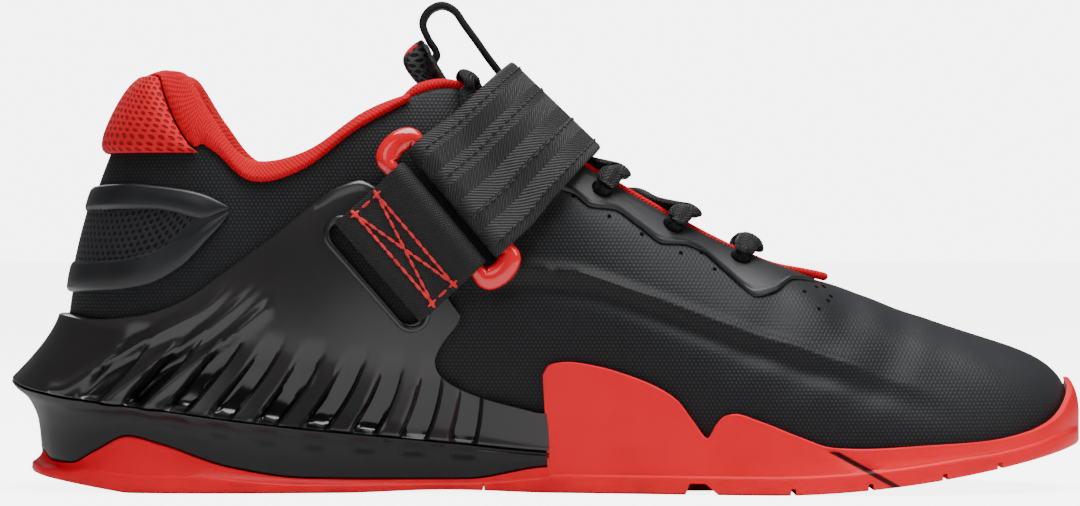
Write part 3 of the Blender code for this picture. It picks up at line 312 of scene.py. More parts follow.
def ringSolid(name, grid, surface, closed, sharp=42):
    levels, columns = grid.shape[:2]
    faces = gridFaces(levels, columns, loop=closed)
    half = columns // 2
    for level in (0, levels - 1):
        base = level * columns
        for j in range(half):
            if closed:
                corners = (j, j + 1, (columns - j - 1) % columns, (columns - j) % columns)
            else:
                corners = (half - j, half - j - 1, half + j + 1, half + j)
            face = [base + k for k in dict.fromkeys(corners)]
            if len(face) > 2:
                faces.append(tuple(face))
    if not closed:
        for level in range(levels - 1):
            a, b = level * columns, (level + 1) * columns
            faces.append((a, b, b + columns - 1, a + columns - 1))
    surf = np.stack([np.broadcast_to(np.abs(grid[..., 0]), (levels, columns)), walked(grid, 0)], -1)
    return meshObject(name, grid.reshape(-1, 3), faces, surface, surf.reshape(-1, 2), sharp)


def sweep(name, path, surface, half, thin, up, closed=False, sides=16, ends=None):
    path, up = np.array(path, float), np.array(up, float)
    tangent = unit(np.roll(path, -1, 0) - np.roll(path, 1, 0)) if closed else unit(np.gradient(path, axis=0))
    across = unit(np.cross(tangent, up))
    lift = np.cross(across, tangent)
    turn = np.arange(sides) / sides * 2 * np.pi
    halves = half * np.ones(len(path)) if ends is None else half * ends[0]
    thins = thin * np.ones(len(path)) if ends is None else thin * ends[1]
    ring = (path[:, None] + across[:, None] * (halves[:, None] * np.cos(turn))[..., None]
            + lift[:, None] * (thins[:, None] * np.sin(turn))[..., None])
    count = len(path)
    faces = gridFaces(count, sides, loop=True)
    if closed:
        faces += [((count - 1) * sides + j, (count - 1) * sides + (j + 1) % sides, (j + 1) % sides, j)
                  for j in range(sides)]
    else:
        faces += [tuple(range(sides))[::-1], tuple((count - 1) * sides + j for j in range(sides))]
    mark = walked(path[:, None], 0)
    around = np.abs(np.arange(sides) / sides - 0.5) * 2 * math.pi * (half + thin) / 2
    surf = np.stack([np.broadcast_to(mark, (count, sides)), np.broadcast_to(around, (count, sides))], -1)
    return meshObject(name, ring.reshape(-1, 3), faces, surface, surf.reshape(-1, 2), 60)


def loopOf(rows):
    rows = np.asarray(rows, float)
    return np.concatenate([rows, 2 * tipRow - rows[-2:0:-1]])


def arcOf(rows):  # from the inner front round the heel to the outer front
    rows = np.asarray(rows, float)
    return np.concatenate([-rows[::-1], rows[1:]])


def placeSigned(signed):
    return np.where(signed <= 0, -signed, 2 * tipRow - signed)


beyond = 0.1  # farther out than the shoe's sides


def prism(points, low=-beyond, high=beyond):  # a flat outline in side view made a block across the shoe
    count = len(points)
    corners = [(x, low, z) for x, z in points] + [(x, high, z) for x, z in points]
    faces = [tuple(range(count)), tuple(range(2 * count - 1, count - 1, -1))]
    faces += [(i, (i + 1) % count, (i + 1) % count + count, i + count) for i in range(count)]
    return meshObject("cutter", corners, faces, blackGloss)


def cutAway(target, cutters):  # cuts each block out of the piece and leaves a plain mesh
    for cutter in cutters:
        modifier = target.modifiers.new("cut", "BOOLEAN")
        modifier.operation = "DIFFERENCE"
        modifier.solver = "EXACT"
        modifier.object = cutter
    plain(target)
    for cutter in cutters:
        bpy.data.objects.remove(cutter)
    bm = bmesh.new()
    bm.from_mesh(target.data)
    for face in bm.faces:
        face.smooth = True
    for edge in bm.edges:
        edge.smooth = len(edge.link_faces) != 2 or edge.calc_face_angle(0) < math.radians(35)
    bm.to_mesh(target.data)
    bm.free()


def plain(piece):  # a piece's finished shape as an ordinary mesh without modifiers
    graph = bpy.context.evaluated_depsgraph_get()
    mesh = bpy.data.meshes.new_from_object(piece.evaluated_get(graph))
    piece.modifiers.clear()
    old = piece.data
    piece.data = mesh
    bpy.data.meshes.remove(old)
    return piece


def rounded(piece, levels=2):
    modifier = piece.modifiers.new("round", "SUBSURF")
    modifier.levels = modifier.render_levels = levels
    return plain(piece)


def sideXZ(alongPercent, tallPercent):
    return np.stack([lengthAt(alongPercent), tall(tallPercent)], -1)


def shows(piece, slotName, *nodes):
    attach(piece, "root")
    if nodes:
        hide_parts(*nodes)
    return piece


# Materials
class Nodes:  # short ways to add and join shader nodes
    def __init__(self, tree):
        self.tree = tree

    def add(self, kind, **settings):
        node = self.tree.nodes.new(kind)
        for name, value in settings.items():
            setattr(node, name, value)
        return node

    def feed(self, socket, value):
        if isinstance(value, bpy.types.NodeSocket):
            self.tree.links.new(value, socket)
        else:
            socket.default_value = value

    def math(self, operation, a, b=0.0):
        node = self.add("ShaderNodeMath", operation=operation)
        self.feed(node.inputs[0], a)
        self.feed(node.inputs[1], b)
        return node.outputs[0]

    def plus(self, a, b):
        return self.math("ADD", a, b)

    def less(self, a, b):
        return self.math("SUBTRACT", a, b)

    def times(self, a, b):
        return self.math("MULTIPLY", a, b)

    def over(self, a, b):
        return self.math("DIVIDE", a, b)

    def span(self, value, low, high, to=(0.0, 1.0)):
        node = self.add("ShaderNodeMapRange", interpolation_type="SMOOTHSTEP")
        for socket, item in zip(("Value", "From Min", "From Max", "To Min", "To Max"), (value, low, high, *to)):
            self.feed(node.inputs[socket], item)
        return node.outputs["Result"]

    def mix(self, share, a, b):
        node = self.add("ShaderNodeMix", data_type="RGBA")
        self.feed(node.inputs["Factor"], share)
        for socket, item in ((node.inputs[6], a), (node.inputs[7], b)):
            self.feed(socket, (*item, 1.0) if isinstance(item, tuple) and len(item) == 3 else item)
        return node.outputs[2]

    def apart(self, vector):
        node = self.add("ShaderNodeSeparateXYZ")
        self.feed(node.inputs[0], vector)
        return node.outputs

    def noise(self, vector, scale, detail=2.0):
        node = self.add("ShaderNodeTexNoise")
        self.feed(node.inputs["Vector"], vector)
        self.feed(node.inputs["Scale"], scale)
        node.inputs["Detail"].default_value = detail
        return node.outputs["Fac"]


def shaderGroup(name, inputs, outputs, build):
    tree = bpy.data.node_groups.new(name, "ShaderNodeTree")
    for label, kind, value in inputs:
        socket = tree.interface.new_socket(label, in_out="INPUT", socket_type=kind)
        if value is not None:
            socket.default_value = value
    for label in outputs:
        tree.interface.new_socket(label, in_out="OUTPUT", socket_type="NodeSocketFloat")
    n = Nodes(tree)
    start, end = n.add("NodeGroupInput"), n.add("NodeGroupOutput")
    for label, value in build(n, start.outputs).items():
        n.feed(end.inputs[label], value)
    return tree


def holeGridNodes(n, given):  # staggered round holes: 1 in a hole, 0 between
    x, y, _ = n.apart(given["Vector"])
    line = n.over(y, n.times(given["Pitch"], 0.866))
    row = n.math("FLOOR", line)
    shift = n.times(n.math("MODULO", n.math("ABSOLUTE", row), 2.0), 0.5)
    across = n.less(n.math("FRACT", n.plus(n.over(x, given["Pitch"]), shift)), 0.5)
    along = n.times(n.less(n.math("FRACT", line), 0.5), 0.866)
    far = n.math("SQRT", n.plus(n.times(across, across), n.times(along, along)))
    edge = n.less(given["Hole"], given["Soft"])
    return {"Hole": n.span(far, edge, n.plus(given["Hole"], given["Soft"]), to=(1.0, 0.0))}


def ribWeaveNodes(n, given):  # threads crossing at right angles, alternately over and under
    x, y, _ = n.apart(given["Vector"])
    turn = n.over(2 * math.pi, given["Pitch"])
    a = n.math("SINE", n.times(x, turn))
    b = n.math("SINE", n.times(y, n.times(turn, given["Across"])))
    return {"Height": n.plus(n.times(n.times(a, b), 0.5), 0.5)}


def zigzagNodes(n, given):  # slanting threads that change direction in each band
    x, y, _ = n.apart(given["Vector"])
    band = n.math("ABSOLUTE", n.less(n.math("FRACT", n.over(y, given["Band"])), 0.5))
    lean = n.times(band, n.times(given["Band"], given["Slope"]))
    turn = n.over(n.plus(x, lean), given["Pitch"])
    wave = n.math("SINE", n.times(turn, 2 * math.pi))
    return {"Height": n.plus(n.times(wave, 0.5), 0.5)}


def grainNodes(n, given):  # fine unevenness with a slower one under it
    fine = n.noise(given["Vector"], given["Fine"], 3.0)
    slow = n.noise(given["Vector"], given["Slow"], 2.0)
    return {"Height": n.plus(n.times(fine, 0.6), n.times(slow, 0.4)),
            "Tone": n.span(slow, 0.35, 0.65)}


def lowSpeckNodes(n, given):  # specks, more of them near the floor
    _, _, z = n.apart(given["Vector"])
    low = n.span(z, 0.0, given["Reach"], to=(1.0, 0.0))
    speck = n.span(n.noise(given["Vector"], 90.0, 4.0), 0.45, 0.72)
    return {"Mask": n.times(low, speck)}


vectorIn = ("Vector", "NodeSocketVector", None)
floatKind = "NodeSocketFloat"
holeGrid = shaderGroup("holeGrid", (vectorIn, ("Pitch", floatKind, 0.002), ("Hole", floatKind, 0.3),
                                    ("Soft", floatKind, 0.06)), ("Hole",), holeGridNodes)
ribWeave = shaderGroup("ribWeave", (vectorIn, ("Pitch", floatKind, 0.001), ("Across", floatKind, 1.0)),
                       ("Height",), ribWeaveNodes)
zigzagWeave = shaderGroup("zigzagWeave", (vectorIn, ("Pitch", floatKind, 0.001), ("Band", floatKind, 0.006),
                                          ("Slope", floatKind, 1.0)), ("Height",), zigzagNodes)
fineGrain = shaderGroup("fineGrain", (vectorIn, ("Fine", floatKind, 2500.0), ("Slow", floatKind, 60.0)),
                        ("Height", "Tone"), grainNodes)
lowSpecks = shaderGroup("lowSpecks", (vectorIn, ("Reach", floatKind, 0.02)), ("Mask",), lowSpeckNodes)


def placed(n, group, vector, **values):  # a pattern group in a material, with its settings
    node = n.add("ShaderNodeGroup", node_tree=group)
    n.feed(node.inputs["Vector"], vector)
    for name, value in values.items():
        n.feed(node.inputs[name], value)
    return node.outputs


def surfaceOf(name, rough, paint, sheen=0.0, coat=0.0, coatRough=0.1, specular=0.5, tint=(1.0, 1.0, 1.0)):
    made = bpy.data.materials.new(name)
    made.use_nodes = True
    n = Nodes(made.node_tree)
    shader = made.node_tree.nodes["Principled BSDF"]
    shader.inputs["Roughness"].default_value = rough
    shader.inputs["Specular IOR Level"].default_value = specular
    shader.inputs["Sheen Weight"].default_value = sheen
    shader.inputs["Sheen Roughness"].default_value = 0.4
    shader.inputs["Sheen Tint"].default_value = (*tint, 1.0)
    shader.inputs["Coat Weight"].default_value = coat
    shader.inputs["Coat Roughness"].default_value = coatRough
    place = n.add("ShaderNodeTexCoord").outputs["Object"]
    surf = n.add("ShaderNodeAttribute", attribute_name="surf").outputs["Vector"]
    colour, roughness, heights = paint(n, place, surf)
    n.feed(shader.inputs["Base Color"], colour)
    if roughness is not None:
        n.feed(shader.inputs["Roughness"], roughness)
    normal = None
    for height, depth, strength in heights:
        bump = n.add("ShaderNodeBump")
        n.feed(bump.inputs["Height"], height)
        bump.inputs["Distance"].default_value = depth
        bump.inputs["Strength"].default_value = strength
        if normal is not None:
            n.feed(bump.inputs["Normal"], normal)
        normal = bump.outputs["Normal"]
    if normal is not None:
        n.feed(shader.inputs["Normal"], normal)
    return made


def slantGrooveShade(n, place):  # 1 in the slanting groove under the ball of the foot, where the rubber's colour is painted near black as shade in the groove
    x, _, z = n.apart(place)
    (xa, za), (xb, zb) = ((lengthAt(a), tall(h)) for a, h in ((76.0, 10.3), (82.0, 1.8)))
    long = math.hypot(xb - xa, zb - za)
    across = n.plus(n.times(x, (zb - za) / long), n.times(z, (xa - xb) / long))
    off = n.math("ABSOLUTE", n.less(across, (xa * (zb - za) + za * (xa - xb)) / long))
    near = n.span(off, 0.0004, 0.0009, to=(1.0, 0.0))
    low = n.span(z, za - 0.0006, za, to=(1.0, 0.0))
    return n.times(near, low)


def rubberPaint(n, place, surf):
    grain = placed(n, fineGrain, place, Fine=1800.0, Slow=35.0)
    darkSpecks = placed(n, lowSpecks, place, Reach=0.006)["Mask"]
    colour = n.mix(grain["Tone"], (0.90, 0.0002, 0.012), (1.0, 0.0003, 0.018))
    # darker, duller red in specks towards the bottom
    colour = n.mix(n.times(darkSpecks, 0.3), colour, (0.34, 0.01, 0.02))
    # painted shade: the slanting groove drawn near black
    colour = n.mix(slantGrooveShade(n, place), colour, (0.04, 0.0005, 0.001))
    return colour, n.span(grain["Tone"], 0.0, 1.0, to=(0.40, 0.50)), [(grain["Height"], 0.0002, 0.35)]


def grainPaint(fine, slow, low, high, depth, strength, rough=None):  # one colour, slightly uneven
    def paint(n, place, surf):
        grain = placed(n, fineGrain, place, Fine=fine, Slow=slow)
        roughness = n.span(grain["Tone"], 0.0, 1.0, to=rough) if rough else None
        return n.mix(grain["Tone"], low, high), roughness, [(grain["Height"], depth, strength)]
    return paint


def threadPaint(low, high):
    return grainPaint(3200.0, 400.0, low, high, 0.0001, 0.5)


def weavePaint(weave, settings, slow, low, high, bump, grainDepth):  # one weave that follows the piece
    def paint(n, place, surf):
        threads = placed(n, weave, surf, **settings)["Height"]
        grain = placed(n, fineGrain, place, Fine=2600.0, Slow=slow)
        return n.mix(threads, low, high), None, [(threads, *bump), (grain["Height"], grainDepth, 0.4)]
    return paint


def glossPaint(n, place, surf):  # surf.x is 1 inside a rib's hollow, where the colour is painted near black as shade and the roughness drops
    hollow = n.apart(surf)[0]
    grain = placed(n, fineGrain, place, Fine=900.0, Slow=22.0)
    colour = n.mix(grain["Tone"], (0.012, 0.0105, 0.011), (0.020, 0.0175, 0.017))
    # painted shade: near-black colour inside the rib hollows
    colour = n.mix(hollow, colour, (0.001, 0.001, 0.001))
    return colour, n.span(hollow, 0.0, 1.0, to=(0.30, 0.16)), [(grain["Height"], 0.0001, 0.12)]


def textilePaint(n, place, surf):  # dotted weave, pressed smooth round the throat and over the toe
    x, y, z = n.apart(place)
    _, facing, _ = n.apart(n.add("ShaderNodeTexCoord").outputs["Normal"])
    fromSide = n.math("GREATER_THAN", n.math("ABSOLUTE", facing), 0.38)
    second = n.add("ShaderNodeMix", data_type="FLOAT")
    n.feed(second.inputs["Factor"], fromSide)
    n.feed(second.inputs["A"], y)
    n.feed(second.inputs["B"], z)
    flat = n.add("ShaderNodeCombineXYZ")
    n.feed(flat.inputs[0], x)
    n.feed(flat.inputs[1], second.outputs["Result"])
    over = n.plus(z, n.times(x, 0.4166))
    film = n.times(n.span(over, 0.076, 0.090), n.span(x, -0.008, 0.010))
    woven = n.less(1.0, film)
    dots = placed(n, holeGrid, flat.outputs[0], Pitch=0.00115, Hole=0.27, Soft=0.14)["Hole"]
    dots = n.times(dots, woven)
    grain = placed(n, fineGrain, place, Fine=900.0, Slow=18.0)
    colour = n.mix(grain["Tone"], (0.003, 0.0033, 0.004), (0.005, 0.0053, 0.0065))
    colour = n.mix(n.times(dots, 0.5), colour, (0.036, 0.039, 0.047))
    colour = n.mix(n.times(film, 0.8), colour, (0.034, 0.035, 0.039))
    heights = [(dots, 0.00016, 0.5), (grain["Height"], 0.0003, 0.22)]
    return colour, n.span(film, 0.0, 1.0, to=(0.56, 0.40)), heights


def meshPaint(n, place, surf):
    holes = placed(n, holeGrid, surf, Pitch=0.0021, Hole=0.31, Soft=0.06)["Hole"]
    grain = placed(n, fineGrain, place, Fine=2200.0, Slow=60.0)
    # painted shade: the holes are coloured far darker than the mesh's threads
    colour = n.mix(holes, (0.018, 0.018, 0.021), (0.0015, 0.0015, 0.002))
    body = n.less(1.0, holes)
    return colour, n.span(holes, 0.0, 1.0, to=(0.55, 0.95)), [(body, 0.0006, 0.8), (grain["Height"], 0.0002, 0.4)]


def redMeshPaint(n, place, surf):
    holes = placed(n, holeGrid, surf, Pitch=0.0024, Hole=0.27, Soft=0.08)["Hole"]
    grain = placed(n, fineGrain, place, Fine=2200.0, Slow=45.0)
    colour = n.mix(grain["Tone"], (0.74, 0.0006, 0.010), (0.86, 0.0008, 0.014))
    # painted shade: darker red inside the mesh's holes
    colour = n.mix(n.times(holes, 0.75), colour, (0.16, 0.001, 0.003))
    body = n.less(1.0, holes)
    return colour, None, [(body, 0.0007, 0.8), (grain["Height"], 0.0002, 0.4)]


def strapPaint(n, place, surf):
    threads = placed(n, zigzagWeave, surf, Pitch=0.00125, Band=0.0098, Slope=1.3)["Height"]
    fine = placed(n, ribWeave, surf, Pitch=0.0007, Across=1.0)["Height"]
    grain = placed(n, fineGrain, place, Fine=2600.0, Slow=50.0)
    colour = n.mix(threads, (0.005, 0.005, 0.005), (0.034, 0.034, 0.034))
    return colour, None, [(threads, 0.0004, 0.7), (fine, 0.0001, 0.5), (grain["Height"], 0.0001, 0.3)]


foamPaint = grainPaint(1400.0, 40.0, (0.006, 0.006, 0.0075), (0.010, 0.010, 0.012), 0.0002, 0.4, (0.42, 0.55))
filmPaint = grainPaint(1500.0, 30.0, (0.010, 0.0105, 0.0125), (0.016, 0.0165, 0.019), 0.0002, 0.3, (0.36, 0.46))
ringPaint = grainPaint(700.0, 60.0, (0.84, 0.0005, 0.010), (0.92, 0.001, 0.014), 0.0001, 0.06, (0.12, 0.20))
floorPaint = grainPaint(300.0, 2.0, (0.86, 0.86, 0.86), (0.88, 0.88, 0.88), 0.0001, 0.05)
redKnitPaint = weavePaint(ribWeave, {"Pitch": 0.0011, "Across": 0.62}, 45.0,
                          (0.55, 0.0005, 0.007), (0.88, 0.001, 0.015), (0.00035, 0.6), 0.0002)
webbingPaint = weavePaint(ribWeave, {"Pitch": 0.0010, "Across": 1.4}, 60.0,
                          (0.004, 0.004, 0.0045), (0.016, 0.016, 0.017), (0.0003, 0.7), 0.0001)
lacePaint = weavePaint(zigzagWeave, {"Pitch": 0.0011, "Band": 0.0026, "Slope": 1.3}, 80.0,
                       (0.003, 0.003, 0.0035), (0.014, 0.014, 0.015), (0.0004, 0.8), 0.0001)
slate = (0.62, 0.68, 0.80)
redRubber = surfaceOf("redRubber", 0.45, rubberPaint, coat=0.03, coatRough=0.4, specular=0.22)
blackFoam = surfaceOf("blackFoam", 0.44, foamPaint, coat=0.05, coatRough=0.3, specular=0.35)
blackGloss = surfaceOf("blackGloss", 0.28, glossPaint, coat=0.35, coatRough=0.14)
blackTextile = surfaceOf("blackTextile", 0.55, textilePaint, sheen=0.02, tint=slate, specular=0.28)
blackFilm = surfaceOf("blackFilm", 0.42, filmPaint, sheen=0.03, tint=slate, coat=0.08, coatRough=0.35)
blackMesh = surfaceOf("blackMesh", 0.7, meshPaint, sheen=0.04, tint=slate, specular=0.35)
redMesh = surfaceOf("redMesh", 0.75, redMeshPaint, sheen=0.08, tint=(1.0, 0.2, 0.2), specular=0.25)
redKnit = surfaceOf("redKnit", 0.8, redKnitPaint, sheen=0.08, tint=(1.0, 0.2, 0.2), specular=0.2)
blackWeb = surfaceOf("blackWeb", 0.62, webbingPaint, sheen=0.03, tint=slate, specular=0.35)
strapWeave = surfaceOf("strapWeave", 0.6, strapPaint, sheen=0.03, specular=0.4)
laceBraid = surfaceOf("laceBraid", 0.6, lacePaint, sheen=0.03, tint=slate, specular=0.35)
ringRed = surfaceOf("ringRed", 0.15, ringPaint, coat=0.8, coatRough=0.06)
redThread = surfaceOf("redThread", 0.55, threadPaint((0.70, 0.004, 0.010), (0.90, 0.010, 0.016)), sheen=0.2)
darkThread = surfaceOf("darkThread", 0.6, threadPaint((0.004, 0.004, 0.004), (0.012, 0.012, 0.012)), sheen=0.1)
# painted shade for the insides of punched holes and eyelets
holeShade = surfaceOf("holeShade", 0.9, threadPaint((0.002, 0.002, 0.002), (0.004, 0.004, 0.004)), specular=0.1)
paleFloor = surfaceOf("paleFloor", 0.6, floorPaint, specular=0.2)


def glowFor(material, strength):  # what the camera sees directly is nearly white; the object's light stays soft
    n = Nodes(material.node_tree)
    shader = material.node_tree.nodes["Principled BSDF"]
    seen = n.add("ShaderNodeLightPath").outputs["Is Camera Ray"]
    n.feed(shader.inputs["Emission Color"], n.mix(seen, (0.0, 0.0, 0.0), (1.0, 1.0, 1.0)))
    shader.inputs["Emission Strength"].default_value = strength


glowFor(paleFloor, 5.2)
print("materials ready")


def nearLine(points, x, z, steps=12):  # how far places in side view lie from a smooth line, in metres
    line = smoothPath(sideXZ(*zip(*points)), steps)
    flat = np.stack([x.ravel(), z.ravel()], -1)
    best = np.full(len(flat), 1.0)
    for a, b in zip(line[:-1], line[1:]):
        way = b - a
        t = np.clip(((flat - a) @ way) / (way @ way), 0, 1)
        best = np.minimum(best, np.linalg.norm(flat - a - t[:, None] * way, axis=1))
    return best.reshape(x.shape)


def hump(distance, width):
    return np.exp(-(distance / width) ** 2)


# Upper, with the pressed ridge on its sides and soft creases over the ball of the foot
upperShape = {"perRow": 9, "levels": 60, "ridge": 0.0017, "ridgeWide": 0.0019, "under": 0.0012,
              "crease": 0.00032, "creaseWide": 0.0040}
ridgeRows = ((7.0, 50.0), (8.0, 52.5), (9.0, 51.0), (10.0, 44.5), (11.0, 36.6), (12.0, 30.5),
             (13.0, 25.0), (14.0, 21.5), (17.0, 25.0))
creaseLines = (((67.5, 30.0), (69.5, 36.0), (71.0, 42.0), (71.8, 50.0)),
               ((73.0, 26.0), (75.2, 31.0), (77.0, 37.0), (78.0, 44.0)),
               ((79.0, 22.0), (81.0, 27.0), (82.6, 33.0), (83.0, 38.0)))


def upperLift(c, w):
    point = wallPoint(c, w)
    row = rowOf(c)
    over = point[..., 2] - tall(easy(ridgeRows, row))
    weight = smoothStep(row, 7.2, 8.4) * (1 - smoothStep(row, 11.5, 14.0))
    look = upperShape
    lift = look["ridge"] * hump(over, look["ridgeWide"]) - look["under"] * hump(over + 0.0055, 0.0030)
    lift = lift * weight
    for line in creaseLines:
        far = nearLine(line, point[..., 0], point[..., 2])
        lift = lift - look["crease"] * hump(far, look["creaseWide"]) + look["crease"] * 0.7 * hump(far - 0.007, 0.004)
    edge = smoothStep(w, 0.0, 0.06) * (1 - smoothStep(w, 0.93, 1.0))
    return lift * edge


def makeUpper():
    rows = np.linspace(0, tipRow, tipRow * upperShape["perRow"] + 1)
    c = loopOf(rows)[None, :] * np.ones((upperShape["levels"], 1))
    w = np.linspace(0, 1, upperShape["levels"])[:, None] * np.ones_like(c)
    grid = onWall(c, w, upperLift(c, w))
    grid[0], grid[-1] = wallPoint(c[0], w[0]), wallPoint(c[-1], w[-1])
    surf = np.stack([grid[..., 0], walked(grid, 0)], -1)
    front = np.clip((rowOf(c) - 12.5) / 2.5, 0, 1)  # over the toe the weave runs across the foot
    surf[..., 1] = surf[..., 1] * (1 - front) + np.abs(grid[..., 1]) * front
    upper = meshObject("upperShell", grid.reshape(-1, 3), gridFaces(*c.shape, loop=True), blackTextile,
                       surf.reshape(-1, 2), 60)
    upper.data.materials.append(redKnit)
    shell = upper.modifiers.new("wall", "SOLIDIFY")
    shell.thickness = shoe["wall"]
    shell.offset = -1
    shell.use_even_offset = True
    shell.material_offset = 1
    return shows(plain(upper), "black_textile", "upper")


makeUpper()
print("upper made")

# Outsole with its fins, toe bumper, grooves and flex notch
soleShape = {"wall": 0.0027, "lip": 0.0045, "step": 0.0009, "floor": 0.0034, "spring": 0.0125,
             "springStart": 70.7, "bevel": 0.0045, "bevelRun": 0.030, "arch": 0.0008, "perRow": 10,
             "foot": 0.0012, "taper": 0.02, "cupInset": 0.0016, "floorInset": 0.005, "rib": 0.0006,
             "slant": 0.0013, "lineWide": 0.0008, "grooveDepth": 0.0018, "under": 0.01, "notchIn": 0.026}
crossGrooves = (72.5, 79.5, 86.3, 91.5)
waistGroove = 44.45
heelNames = ("row", "parting", "flange", "waist", "cup", "spread")
heelRows = (
    (0.0, 26.2, 15.6, 7.3, 7.8, 10.2),
    (0.5, 25.2, 15.2, 7.2, 9.0, 10.0),
    (1.0, 23.8, 14.0, 7.0, 6.8, 9.8),
    (1.5, 22.6, 12.6, 6.8, 6.6, 9.4),
    (2.0, 21.4, 11.4, 6.5, 9.8, 9.0),
    (2.5, 20.4, 10.6, 6.3, 13.2, 8.8),
    (3.0, 19.5, 10.0, 6.0, 11.4, 8.4),
    (4.0, 17.2, 8.5, 5.0, 6.0, 7.4),
    (5.0, 15.1, 7.0, 4.0, 3.4, 6.0),
    (6.0, 13.3, 5.5, 3.3, 3.1, 4.6),
    (7.0, 11.5, 4.2, 2.8, 3.1, 3.8),
    (8.0, 9.8, 3.2, 2.6, 6.0, 3.6),
    (9.0, 9.0, 3.0, 2.6, 7.0, 4.0),
)
clipEnd, cupEnd, foreStart = 8.085, 8.06, 8.13
rimRows = ((8.13, 27.5), (8.25, 29.8), (8.5, 30.5), (8.85, 29.6), (9.25, 27.4), (9.58, 24.6),
           (9.78, 21.6), (9.91, 17.0), (10.05, 13.0), (10.18, 16.0), (10.32, 18.2), (10.45, 18.7),
           (10.7, 17.2), (11.2, 13.4), (11.6, 11.0), (12.0, 10.7), (13.0, 11.4), (14.0, 12.2),
           (15.0, 14.4), (15.5, 16.4), (16.0, 19.4), (16.5, 23.0), (17.0, 26.4))
spreadRows = ((8.0, 3.6), (9.0, 4.2), (11.0, 5.2), (12.5, 5.2), (14.0, 4.4), (16.0, 3.4), (17.0, 2.6))
sideRib = ((81.9, 5.6), (88.0, 7.6), (94.9, 10.4))  # fine rib low on the toe's side
slantGroove = ((76.0, 10.3), (79.0, 6.2), (82.0, 1.8))


def heelValue(name, row):
    return easy(heelRows, row, heelNames.index(name))


def ground(x):
    look = soleShape
    start = lengthAt(look["springStart"])
    toe = look["spring"] * np.clip((x - start) / (shoe["length"] / 2 - start), 0, None) ** 1.8
    back = look["bevel"] * np.clip((lengthAt(0) + 0.035 - x) / look["bevelRun"], 0, None)
    bow = np.sin(np.pi * np.clip((x - lengthAt(31)) / (lengthAt(51) - lengthAt(31)), 0, 1)) ** 2
    return toe + back + look["arch"] * bow


def makeOutsole():
    look, fit = soleShape, shoe["fit"]
    rows = np.concatenate([np.linspace(0, cupEnd, 8 * look["perRow"]), np.linspace(foreStart, 11, 100),
                           np.linspace(11, tipRow, 6 * look["perRow"])[1:]])
    c = loopOf(rows)
    row = rowOf(c)
    fore = row > (cupEnd + foreStart) / 2
    spread = wide(np.where(fore, easy(spreadRows, row), heelValue("spread", row)))
    rim = tall(np.where(fore, easy(rimRows, row), heelValue("cup", row)))
    waist = wide(heelValue("waist", row))
    edge = np.where(fore, look["wall"], waist)
    inside = np.where(fore, fit * 3, waist - look["cupInset"])
    floorOut = np.where(fore, fit * 3, waist - look["floorInset"])
    floor = np.where(fore, footHeight(c) - fit, look["floor"])
    low = ground(skin(c, 0.005, spread)[..., 0])
    lip = np.minimum(low + look["lip"], (low + rim) / 2)
    foot, narrowed = look["foot"], spread * (1 - look["taper"])
    grid = [skin(c, low, spread - foot), skin(c, low + foot / 3, spread - foot / 3), skin(c, low + foot, spread)]
    grid += [skin(c, low + foot + (lip - low - foot) * t, spread * (1 - look["taper"] * t)) for t in (0.35, 0.7, 1.0)]
    stepOut = np.maximum(narrowed - look["step"], edge)
    grid += [skin(c, lip + 0.0003, np.maximum(narrowed - 0.0002, edge)), skin(c, lip + 0.0007, stepOut)]
    bottom = lip + 0.0007
    for t in np.linspace(0.06, 0.94, 16):
        out = edge + (stepOut - edge) * (1 - t) ** 1.7
        level = skin(c, bottom + (rim - bottom) * t, out)
        far = nearLine(sideRib, level[..., 0], level[..., 2])
        groove = nearLine(slantGroove, level[..., 0], level[..., 2])
        change = (look["rib"] * hump(far, look["lineWide"]) - look["slant"] * hump(groove, look["lineWide"])) * fore
        grid.append(skin(c, bottom + (rim - bottom) * t, out + change))
    grid += [skin(c, rim - 0.0003, edge - 0.00005), skin(c, rim, edge - 0.0005)]
    grid += [skin(c, rim, inside + 0.0002)]
    for t in (0.1, 0.3, 0.5, 0.65, 0.85, 1.0):
        grid.append(skin(c, rim + (floor - rim) * t, inside + (floorOut - inside) * t))
    outsole = ringSolid("outsoleRubber", np.array(grid), redRubber, True, 38)
    notch = sideXZ((61.6, 63.2, 64.6, 69.4), (-8.0, 2.6, 2.6, -8.0))
    cutters = [prism(notch, high=-look["notchIn"]), prism(notch, low=look["notchIn"])]
    under = -look["under"]
    for along in crossGrooves:
        x = float(lengthAt(along))
        top = float(ground(np.array(x))) + look["grooveDepth"]
        cutters.append(prism([(x - 0.0011, under), (x - 0.0006, top), (x + 0.0006, top), (x + 0.0011, under)]))
    x = float(lengthAt(waistGroove))
    cutters.append(prism([(x - 0.0012, under), (x, 0.0030), (x + 0.0012, under)]))
    cutAway(outsole, cutters)
    return shows(outsole, "red_rubber", "outsole")


makeOutsole()
print("outsole made")

